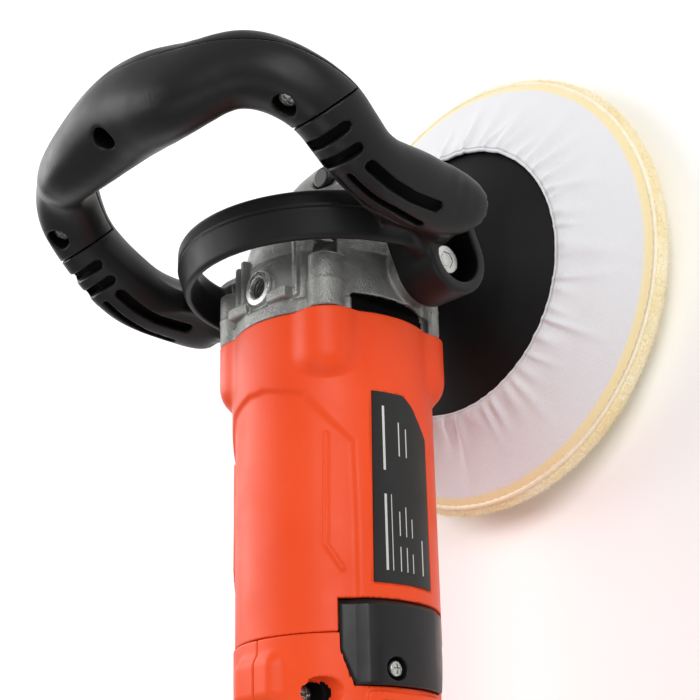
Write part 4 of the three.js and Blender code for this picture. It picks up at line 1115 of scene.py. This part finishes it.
def draw_up(V, R0, Z0, nr, nt):
    """Cloth simulation: the cut is wider at the mouth than the elastic, so the cloth buckles into folds."""
    i, j = np.meshgrid(np.arange(nr - 1), np.arange(nt), indexing="ij")
    j2 = (j + 1) % nt
    F = np.stack([i * nt + j, i * nt + j2, (i + 1) * nt + j2, (i + 1) * nt + j], -1).reshape(-1, 4)
    o = mesh("cloth_work", V.reshape(-1, 3), F)
    try:
        o.shape_key_add(name="Basis")
        key = o.shape_key_add(name="cut")
        th = np.arctan2(V[..., 1], V[..., 0])
        wide = R0 + 8.0 * np.clip((84 - R0) / 23, 0, 1) ** 1.3  # the flat cut before it is drawn up
        C = np.stack([wide[:, None] * np.cos(th), wide[:, None] * np.sin(th), np.repeat(Z0[:, None], nt, 1)], -1)
        C = C.reshape(-1, 3) / 1000 + [0, 0, AXIS]
        key.data.foreach_set("co", C.astype(np.float32).ravel())
        pin = o.vertex_groups.new(name="pin")
        pin.add([int(v) for v in range(nt)], 0.9, "REPLACE")
        pin.add([int(v) for v in range((nr - 3) * nt, nr * nt)], 1.0, "REPLACE")
        m = o.modifiers.new("Cloth", "CLOTH")
        c = m.settings
        c.quality = 5
        c.mass = 0.15
        c.tension_stiffness = 12
        c.compression_stiffness = 12
        c.shear_stiffness = 6
        c.bending_stiffness = 0.08
        c.air_damping = 6
        c.effector_weights.gravity = 0
        c.vertex_group_mass = "pin"
        c.pin_stiffness = 1.0
        c.rest_shape_key = key
        c.use_pressure = True
        c.uniform_pressure_force = 0.6
        m.collision_settings.use_self_collision = False
        for f_ in range(1, 15):
            scene.frame_set(f_)
        dg = bpy.context.evaluated_depsgraph_get()
        e = o.evaluated_get(dg)
        W = np.empty(len(e.data.vertices) * 3, np.float32)
        e.data.vertices.foreach_get("co", W)
        W = (W.reshape(-1, 3) - [0, 0, AXIS]) * 1000
        W = W.reshape(nr, nt, 3)
        scene.frame_set(1)
        move = W - V
        far = np.linalg.norm(move, axis=-1, keepdims=True)
        print("cloth moved up to %.2f mm, mean %.2f" % (far.max(), far.mean()))
        if not np.isfinite(W).all():
            return V
        move *= np.minimum(1, 2.6 / np.maximum(far, 1e-6))
        W = V + move
        r = np.hypot(W[..., 0], W[..., 1])
        base = np.interp(r, R0, Z0)
        W[..., 2] = np.maximum(W[..., 2], base - 0.15)
        return W
    finally:
        bpy.data.objects.remove(o)


V, nr, nt = fabric_back()
# a rolled hem round the elastic, and the underside of the cloth
T = np.arctan2(V[0, :, 1], V[0, :, 0])
rim_r = np.hypot(V[0, :, 0], V[0, :, 1])
rim_z = V[0, :, 2]
wob = 0.05 * np.sin(T * 61) + 0.04 * np.sin(T * 97 + 1)
hem = []
for a in np.linspace(20, 250, 9):
    ca, sa = math.cos(math.radians(a)), math.sin(math.radians(a))
    rr = rim_r + 0.2 - 0.95 + 0.95 * ca * 0.9
    hem.append(np.stack([(rr + wob * 0.4) * np.cos(T), (rr + wob * 0.4) * np.sin(T), rim_z - 1.0 + 0.95 * sa + wob * 0.3], -1))
under = V.copy()
under[..., 2] -= 0.9
rad = np.hypot(under[..., 0], under[..., 1])
flatz = np.interp(rad, BACK[:, 0], BACK[:, 1]) - 1.05
under[..., 2] = np.maximum(under[..., 2], flatz)
rows = [*under[::-1], *hem[::-1], *V]
G = np.array(rows)
nrow = len(G)
i, j = np.meshgrid(np.arange(nrow - 1), np.arange(nt), indexing="ij")
j2 = (j + 1) % nt
F = np.stack([i * nt + j, i * nt + j2, (i + 1) * nt + j2, (i + 1) * nt + j], -1).reshape(-1, 4)
F = np.vstack([F, np.stack([(nrow - 1) * nt + j[0], (nrow - 1) * nt + j2[0], j2[0], j[0]], -1)])  # closes the outer edge
o = mesh("bonnet_back", G.reshape(-1, 3), F[:, ::-1])
bonnet_back = place(o, "spindle_assembly", "fabric", ["wool_bonnet"])
bonnet_back.data.set_sharp_from_angle(angle=math.pi)


# wool: a lumpy closed pad with a fibre edge
def wool_profile():
    return [(0, -93.6), (60, -93.6), (88.6, -93.5), (89.2, -90.2), (93.0, -88.2), (96.9, -89.4), (99.0, -91.0), (99.6, -93.0), (98.2, -95.6), (94.5, -99.4), (89.5, -103.3), (83.0, -105.4), (60, -105.4), (0, -105.4)]


def tufts(R, H, th):
    g = np.random.default_rng(5)
    k = np.clip((-92 - H) / 4, 0, 1) + 0.4 * np.clip((R - 97) / 2, 0, 1)
    n = np.zeros_like(R)
    for f_, a in ((37, 0.22), (71, 0.2), (113, 0.16), (167, 0.12)):
        n += a * np.sin(f_ * th + g.uniform(0, 6) + R * g.uniform(0.1, 0.6) + 1.7 * np.sin(H * 0.8 + g.uniform(0, 6)))
    n += 0.25 * np.sin(R * 1.3 + 9 * np.sin(5 * th)) * np.sin(th * 29 + R * 0.31)
    return R + 0.35 * n * k, H + 0.55 * n * k * (R > 20)


o = lathe("wool_pad", "z", wool_profile(), seg=540, rnd=1.0, ripple=tufts)
wool_pad = place(o, "spindle_assembly", "wool", ())


def fibres(name, n, seed, place_at, length, width, look):
    """Curved tapering fibres, two faces a step, drawn as thin blades."""
    g = np.random.default_rng(seed)
    base, out = place_at(g, n)
    L_ = g.uniform(*length, n)
    side = np.cross(out, g.normal(size=(n, 3)))
    side /= np.linalg.norm(side, axis=1)[:, None]
    bend = np.cross(side, out) * g.uniform(-1.2, 1.2, n)[:, None] + side * g.uniform(-0.6, 0.6, n)[:, None]
    steps = 4
    w = g.uniform(*width, n)
    rows = []
    for k in range(steps):
        t = k / (steps - 1)
        c = base + out * (L_ * t)[:, None] + bend * (L_ * t * t * 0.55)[:, None]
        rows.append((c - side * (w * (1 - t * 0.85))[:, None], c + side * (w * (1 - t * 0.85))[:, None]))
    V = np.stack([p for row in rows for p in row], 1)
    V[..., 2] = np.maximum(V[..., 2], -105.9)
    F = []
    b = (np.arange(n) * 2 * steps)[:, None]
    for k in range(steps - 1):
        F.append(b + np.array([2 * k, 2 * k + 1, 2 * k + 3, 2 * k + 2]))
    o = mesh(name, V.reshape(-1, 3), np.concatenate(F))
    return place(o, "spindle_assembly", look, ())


def edge_sites(g, n):
    a = g.uniform(0, 2 * np.pi, n)
    prof = np.array([(96.6, -89.3), (98.8, -90.8), (99.2, -93.0), (97.8, -95.6), (94.2, -99.3), (89.2, -103.1), (84, -105.0)])
    nor = np.array([(0.35, 0.94), (0.85, 0.5), (1.0, -0.05), (0.8, -0.6), (0.68, -0.73), (0.5, -0.85), (0.15, -0.5)])
    t = g.uniform(0, len(prof) - 1.001, n)
    i = t.astype(int)
    f_ = (t - i)[:, None]
    p = prof[i] * (1 - f_) + prof[i + 1] * f_
    q = nor[i] * (1 - f_) + nor[i + 1] * f_
    c, s = np.cos(a), np.sin(a)
    base = np.stack([p[:, 0] * c, p[:, 0] * s, p[:, 1]], 1)
    out = np.stack([q[:, 0] * c, q[:, 0] * s, q[:, 1]], 1) + g.normal(size=(n, 3)) * 0.28
    out[:, 2] = np.where(base[:, 2] < -103.5, np.maximum(out[:, 2], -0.12), out[:, 2])
    out /= np.linalg.norm(out, axis=1)[:, None]
    return base, out


def face_sites(g, n):
    a = g.uniform(0, 2 * np.pi, n)
    r = 86 * np.sqrt(g.uniform(0, 1, n))
    base = np.stack([r * np.cos(a), r * np.sin(a), np.full(n, -105.2)], 1)
    out = g.normal(size=(n, 3)) * [1, 1, 0.05]
    out[:, 2] = -np.abs(out[:, 2]) - 0.02
    out /= np.linalg.norm(out, axis=1)[:, None]
    return base, out


fibres("wool_edge_fibres", 26000, 11, edge_sites, (0.7, 1.9), (0.05, 0.11), "fibre")
fibres("wool_face_fibres", 14000, 12, face_sites, (1.5, 3.2), (0.07, 0.14), "fibre")

# the sewn seam where fabric meets wool: a low welt with stitches along it
o = lathe("bonnet_welt", "z", [(96.0, -88.9), (96.3, -88.3), (96.9, -88.2), (97.5, -88.8), (97.6, -89.5), (96.9, -89.9), (96.2, -89.6), (96.0, -89.2)], seg=360, rnd=0.4,
          ripple=lambda R, H, th: (R + 0.10 * np.sin(th * 216), H + 0.14 * np.sin(th * 216)))
place(o, "spindle_assembly", "thread", ())


# ---------------------------------------------------------------- screws, bolts, buttons
def screw_head(name, centre, axis, r, h, kind, look, nodes, body="tool_body", shank=None, depth=None):
    """A head with a driver recess; centre is the top of the head, and axis points out of it."""
    n = np.array(axis, float)
    n /= np.linalg.norm(n)
    u = np.cross(n, [0.0, 0.0, 1.0] if abs(n[2]) < 0.9 else [1.0, 0, 0])
    u /= np.linalg.norm(u)
    w_ = np.cross(n, u)
    c = np.array(centre, float)
    sr, sl = shank or (r * 0.48, 6.0)
    rc = depth or h * 0.75

    def f(P):
        Q = np.stack([(P - c) @ u, (P - c) @ w_, (P - c) @ n], 1)
        rad = np.hypot(Q[:, 0], Q[:, 1])
        dome = 0.22 * r * (1 - np.clip(rad / r, 0, 1) ** 2)
        if kind == "hex":
            ang = np.arctan2(Q[:, 1], Q[:, 0])
            d = smax(rad - r, np.maximum(Q[:, 2], -h - Q[:, 2]), 0.5)
            hexa = np.max([np.abs(Q[:, 0] * math.cos(k) + Q[:, 1] * math.sin(k)) for k in (0, math.pi / 3, 2 * math.pi / 3)], axis=0) - r * 0.5
            rec = smax(hexa, np.maximum(-Q[:, 2] - rc, Q[:, 2] - 9), 0.3)
        else:
            d = smax(rad - r, np.maximum(Q[:, 2] - dome, -h - Q[:, 2]), 0.45)
            q1 = np.maximum(np.abs(Q[:, 0]) - r * 0.62, np.abs(Q[:, 1]) - r * 0.14)
            q2 = np.maximum(np.abs(Q[:, 1]) - r * 0.62, np.abs(Q[:, 0]) - r * 0.14)
            rec = np.maximum(np.minimum(q1, q2), -Q[:, 2] - rc + 0.55 * rad)
        d = smax(d, -rec, 0.2)
        sh = np.maximum(rad - sr, np.maximum(Q[:, 2] + 0.4, -Q[:, 2] - h - sl))
        return np.minimum(d, sh)

    e = r + h + sl + 1
    ext = np.abs(n) * (h + sl) + r + 0.6
    mid = c - n * (h + sl) / 2
    half = np.abs(n) * ((h + sl) / 2 + 0.22 * r + 0.3) + (1 - np.abs(n)) * (r + 0.5) + 0.3
    if np.abs(n).max() < 0.99:
        half = np.full(3, (h + sl) / 2 + r)
    o = skin(name, f, mid - half, mid + half, max(0.16, r / 16), eps=0.08, project=1)
    return place(o, body, look, nodes)


for p, tag in zip(SCREWS, ("centre", "left", "right")):
    c = np.array(p) - SEAM_N * 5.6
    screw_head("grip_screw_head_" + tag, c + SEAM_N * 0.9, SEAM_N, 3.3, 2.2, "cross", "zinc", ["grip_screw_" + tag], shank=(1.6, 8))
for sg, side in ((1, "left"), (-1, "right")):
    screw_head("handle_bolt_" + side, (-26, sg * 56.0, -10), (0, sg, 0), 5.7, 5.6, "hex", "machined", ["loop_handle_bolt_" + side], shank=(4, 16), depth=3.2)
    screw_head("brush_screw_" + side, (-180.8, sg * 38.95, 7.5), (0, sg, 0), 2.8, 1.4, "cross", "zinc", ["brush_cover_screw_" + side], shank=(1.7, 9), depth=1.1)
for i, (hx, hz) in enumerate(HSCREW):
    screw_head("handle_screw_%d" % (i + 1), (hx, -14.5, hz), (0, -1, 0), 3.45, 2.0, "cross", "zinc", ["rear_handle_screw_%d" % (i + 1)], shank=(1.6, 24), depth=1.5)
for i, a in enumerate((45, 135, 225, 315)):
    y_, z_ = 38 * math.cos(math.radians(a)), 38 * math.sin(math.radians(a))
    screw_head("case_screw_%d" % (i + 1), (-30.6, y_, z_), (1, 0, 0), 4.15, 3.6, "cross", "zinc", ["gear_case_screw_%d" % (i + 1)], shank=(2.4, 26), depth=2.4)


def rounded_outline(name, f, lo, hi, h, body, look, nodes):
    return place(skin(name, f, lo, hi, h, eps=0.15), body, look, nodes)


TP = (-229, -20)
TRIG = [(2.5, 1), (-1, 3), (-50, -4), (-53, -7), (-52, -16), (-48, -18.5), (-30, -17.2), (-12, -17), (-3, -11), (2.5, -4)]


def f_trigger(P):
    x, y, z = P.T
    d = poly(x, z, [(TP[0] + a, TP[1] + b) for a, b in TRIG])
    crown = 0.10 * np.maximum(np.abs(y) - 2, 0) ** 2
    d = smax(d + np.where(z < TP[1] - 9, crown * 0.35, 0), np.abs(y) - 7, 2.4)
    ribs = 0.28 * np.clip(np.cos((x + 256) * 2 * np.pi / 4.2) * 2, -1, 1) * (z < TP[1] - 14) * (np.abs(x + 256) < 17) * (np.abs(y) < 5)
    return d + np.maximum(ribs, 0)


rounded_outline("trigger_lever_shell", f_trigger, (-283, -8, -40), (-225, 8, -16), 0.5, "trigger_lever", "black", ["trigger"])


def f_lock(P):
    x, y, z = P.T
    r = np.hypot(x + 256, z + 4)
    d = smax(r - 5.6, np.maximum(y - 26, 12 - y), 1.0)
    d = smin(d, 1e3, 1)
    dish = np.sqrt((x + 256) ** 2 + (z + 4) ** 2 + (y - 34.6) ** 2) - 9.4
    ringg = np.abs(np.mod(r, 1.6) - 0.8)
    return smax(d, -dish, 0.5) + np.where((y > 25) & (r < 4), 0.12 * (ringg < 0.3), 0)


rounded_outline("lock_on_cap", f_lock, (-262, 11.5, -10), (-250, 26.5, 2), 0.35, "lock_on", "black", ["lock_on_button"])


def f_dial(P):
    x, y, z = P.T
    r = np.hypot(x + 318, z - 17.5)
    a = np.arctan2(z - 17.5, x + 318)
    edge = 12 - 0.55 * (np.cos(a * 32) > 0.1) * 1.0
    edge = 11.75 + 0.28 * np.clip(np.cos(a * 32) * 2.5, -1, 1)
    d = smax(r - edge, np.abs(y) - 3.6, 0.8)
    d = smax(d, -(smax(r - 8.2, 2.9 - np.abs(y), 0.3)), 0.3)
    return d


rounded_outline("speed_wheel", f_dial, (-331, -4, 5), (-305, 4, 30), 0.35, "dial_wheel", "black", ["speed_dial"])


def f_spindle_lock(P):
    x, y, z = P.T
    r = np.hypot(x - 18, y + 12)
    d = smax(r - 4.6, np.maximum(z - 15, 8.5 - z), 1.2)
    d = smin(d, np.maximum(r - 1.9, np.maximum(z - 9, -5.5 - z)), 0.3)
    return d


rounded_outline("spindle_lock_cap", f_spindle_lock, (12, -18, -6), (24, -6, 16), 0.35, "spindle_lock", "black", ["spindle_lock_button"])

# the button's return spring, a coil
a_ = np.linspace(0, 3 * 2 * np.pi, 121)
q_ = np.linspace(0, 2 * np.pi, 10, endpoint=False)
er = np.stack([np.cos(a_), np.sin(a_), 0 * a_], 1)
ctr = np.array([18.0, -12.0, 2.4]) + er * 3.3 + np.stack([0 * a_, 0 * a_, 5.2 * a_ / a_[-1]], 1)
coil = ctr[:, None, :] + 0.45 * (np.cos(q_)[None, :, None] * er[:, None, :] + np.sin(q_)[None, :, None] * np.array([0, 0, 1.0]))
i, j = np.meshgrid(np.arange(120), np.arange(10), indexing="ij")
j2 = (j + 1) % 10
F = np.stack([i * 10 + j, (i + 1) * 10 + j, (i + 1) * 10 + j2, i * 10 + j2], -1).reshape(-1, 4)
o = mesh("spindle_lock_coil", coil.reshape(-1, 3), F)
place(o, "tool_body", "steel", ["spindle_lock_spring"])
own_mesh(o)

# strain relief of the cord inlet: a ribbed rubber bush
box_lo, box_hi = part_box("cord_inlet")
bx0, bx1 = box_lo.x * 1000, box_hi.x * 1000
bz = (box_lo.z + box_hi.z) / 2 * 1000 - 106
br = (box_hi.y - box_lo.y) / 2 * 1000


def f_inlet(P):
    x, y, z = P.T
    r = np.hypot(y, z - bz)
    body = smax(r - 7.1, np.maximum(x + 339, -350.5 - x), 0.5)
    collar = smax(r - br, np.maximum(x - (-349.9), bx0 - x), 1.4)
    flange_in = smax(r - br, np.maximum(x - bx1, bx1 - 4 - x), 0.8)
    d = smin(smin(body, collar, 0.5), flange_in, 0.5)
    groove = np.abs(np.mod(x - bx0, 2.4) - 1.2) - 0.45
    d = smax(d, -np.maximum(groove, np.maximum(br - 0.8 - r, np.maximum(bx0 + 0.8 - x, x + 350.6))), 0.3)
    return smax(d, -(np.maximum(r - 4.1, x - bx0 - 5)), 0.4)


rounded_outline("inlet_bush", f_inlet, (bx0 - 0.5, -br - 0.5, bz - br - 0.5), (bx1 + 0.5, br + 0.5, bz + br + 0.5), 0.45, "tool_body", "rubber", ["cord_inlet"])


# ---------------------------------------------------------------- stage, light and camera
def stage_material(name, colour, rough):
    m = finish_of(name, colour, colour, rough, bump=0.0, vary=0.02, specular=0.2)
    return m


me = bpy.data.meshes.new("floor")
me.from_pydata([(-6, -6, 0), (6, -6, 0), (6, 6, 0), (-6, 6, 0)], [], [(0, 1, 2, 3)])
floor = bpy.data.objects.new("floor", me)
scene.collection.objects.link(floor)
floor.data.materials.append(stage_material("floor_pale", (0.97, 0.97, 0.97, 1), 0.6))

world = bpy.data.worlds.new("studio")
scene.world = world
world.use_nodes = True
bg = world.node_tree.nodes["Background"]
bg.inputs["Color"].default_value = (1.0, 1.0, 1.0, 1)
bg.inputs["Strength"].default_value = 0.42


def area(name, at, look, size, power, spread=180):
    li = bpy.data.lights.new(name, "AREA")
    li.shape = "RECTANGLE"
    li.size, li.size_y = size
    li.energy = power
    li.spread = math.radians(spread)
    o = bpy.data.objects.new(name, li)
    scene.collection.objects.link(o)
    o.location = at
    d = Vector(look) - Vector(at)
    o.rotation_euler = d.to_track_quat("-Z", "Y").to_euler()
    return o


area("key", (0.35, -0.95, 1.0), (-0.10, 0, 0.1), (0.8, 0.8), 11.5)
area("fill", (-1.0, -0.2, 0.9), (-0.12, 0, 0.1), (0.9, 0.9), 3.0)
area("rim", (0.3, 0.95, 0.85), (-0.1, 0, 0.12), (0.8, 1.2), 10.0)

area("side_box", (0.5, 1.05, 0.38), (-0.02, 0.0, 0.15), (0.9, 0.7), 3.0)

cam = bpy.data.cameras.new("camera")
cam.sensor_width = 36
cam.lens = 80.875
cam.clip_start, cam.clip_end = 0.01, 50
co = bpy.data.objects.new("camera", cam)
scene.collection.objects.link(co)
right = Vector((-0.0219934, -0.6751926, -0.7373135))
up = Vector((0.9340641, -0.2768033, 0.2256194))
back = Vector((-0.3564274, -0.683736, 0.636761))
R = Matrix((right, up, back)).transposed()
co.matrix_world = Matrix.Translation((-0.27166, -0.43197, 0.39210 + AXIS)) @ R.to_4x4()
scene.camera = co
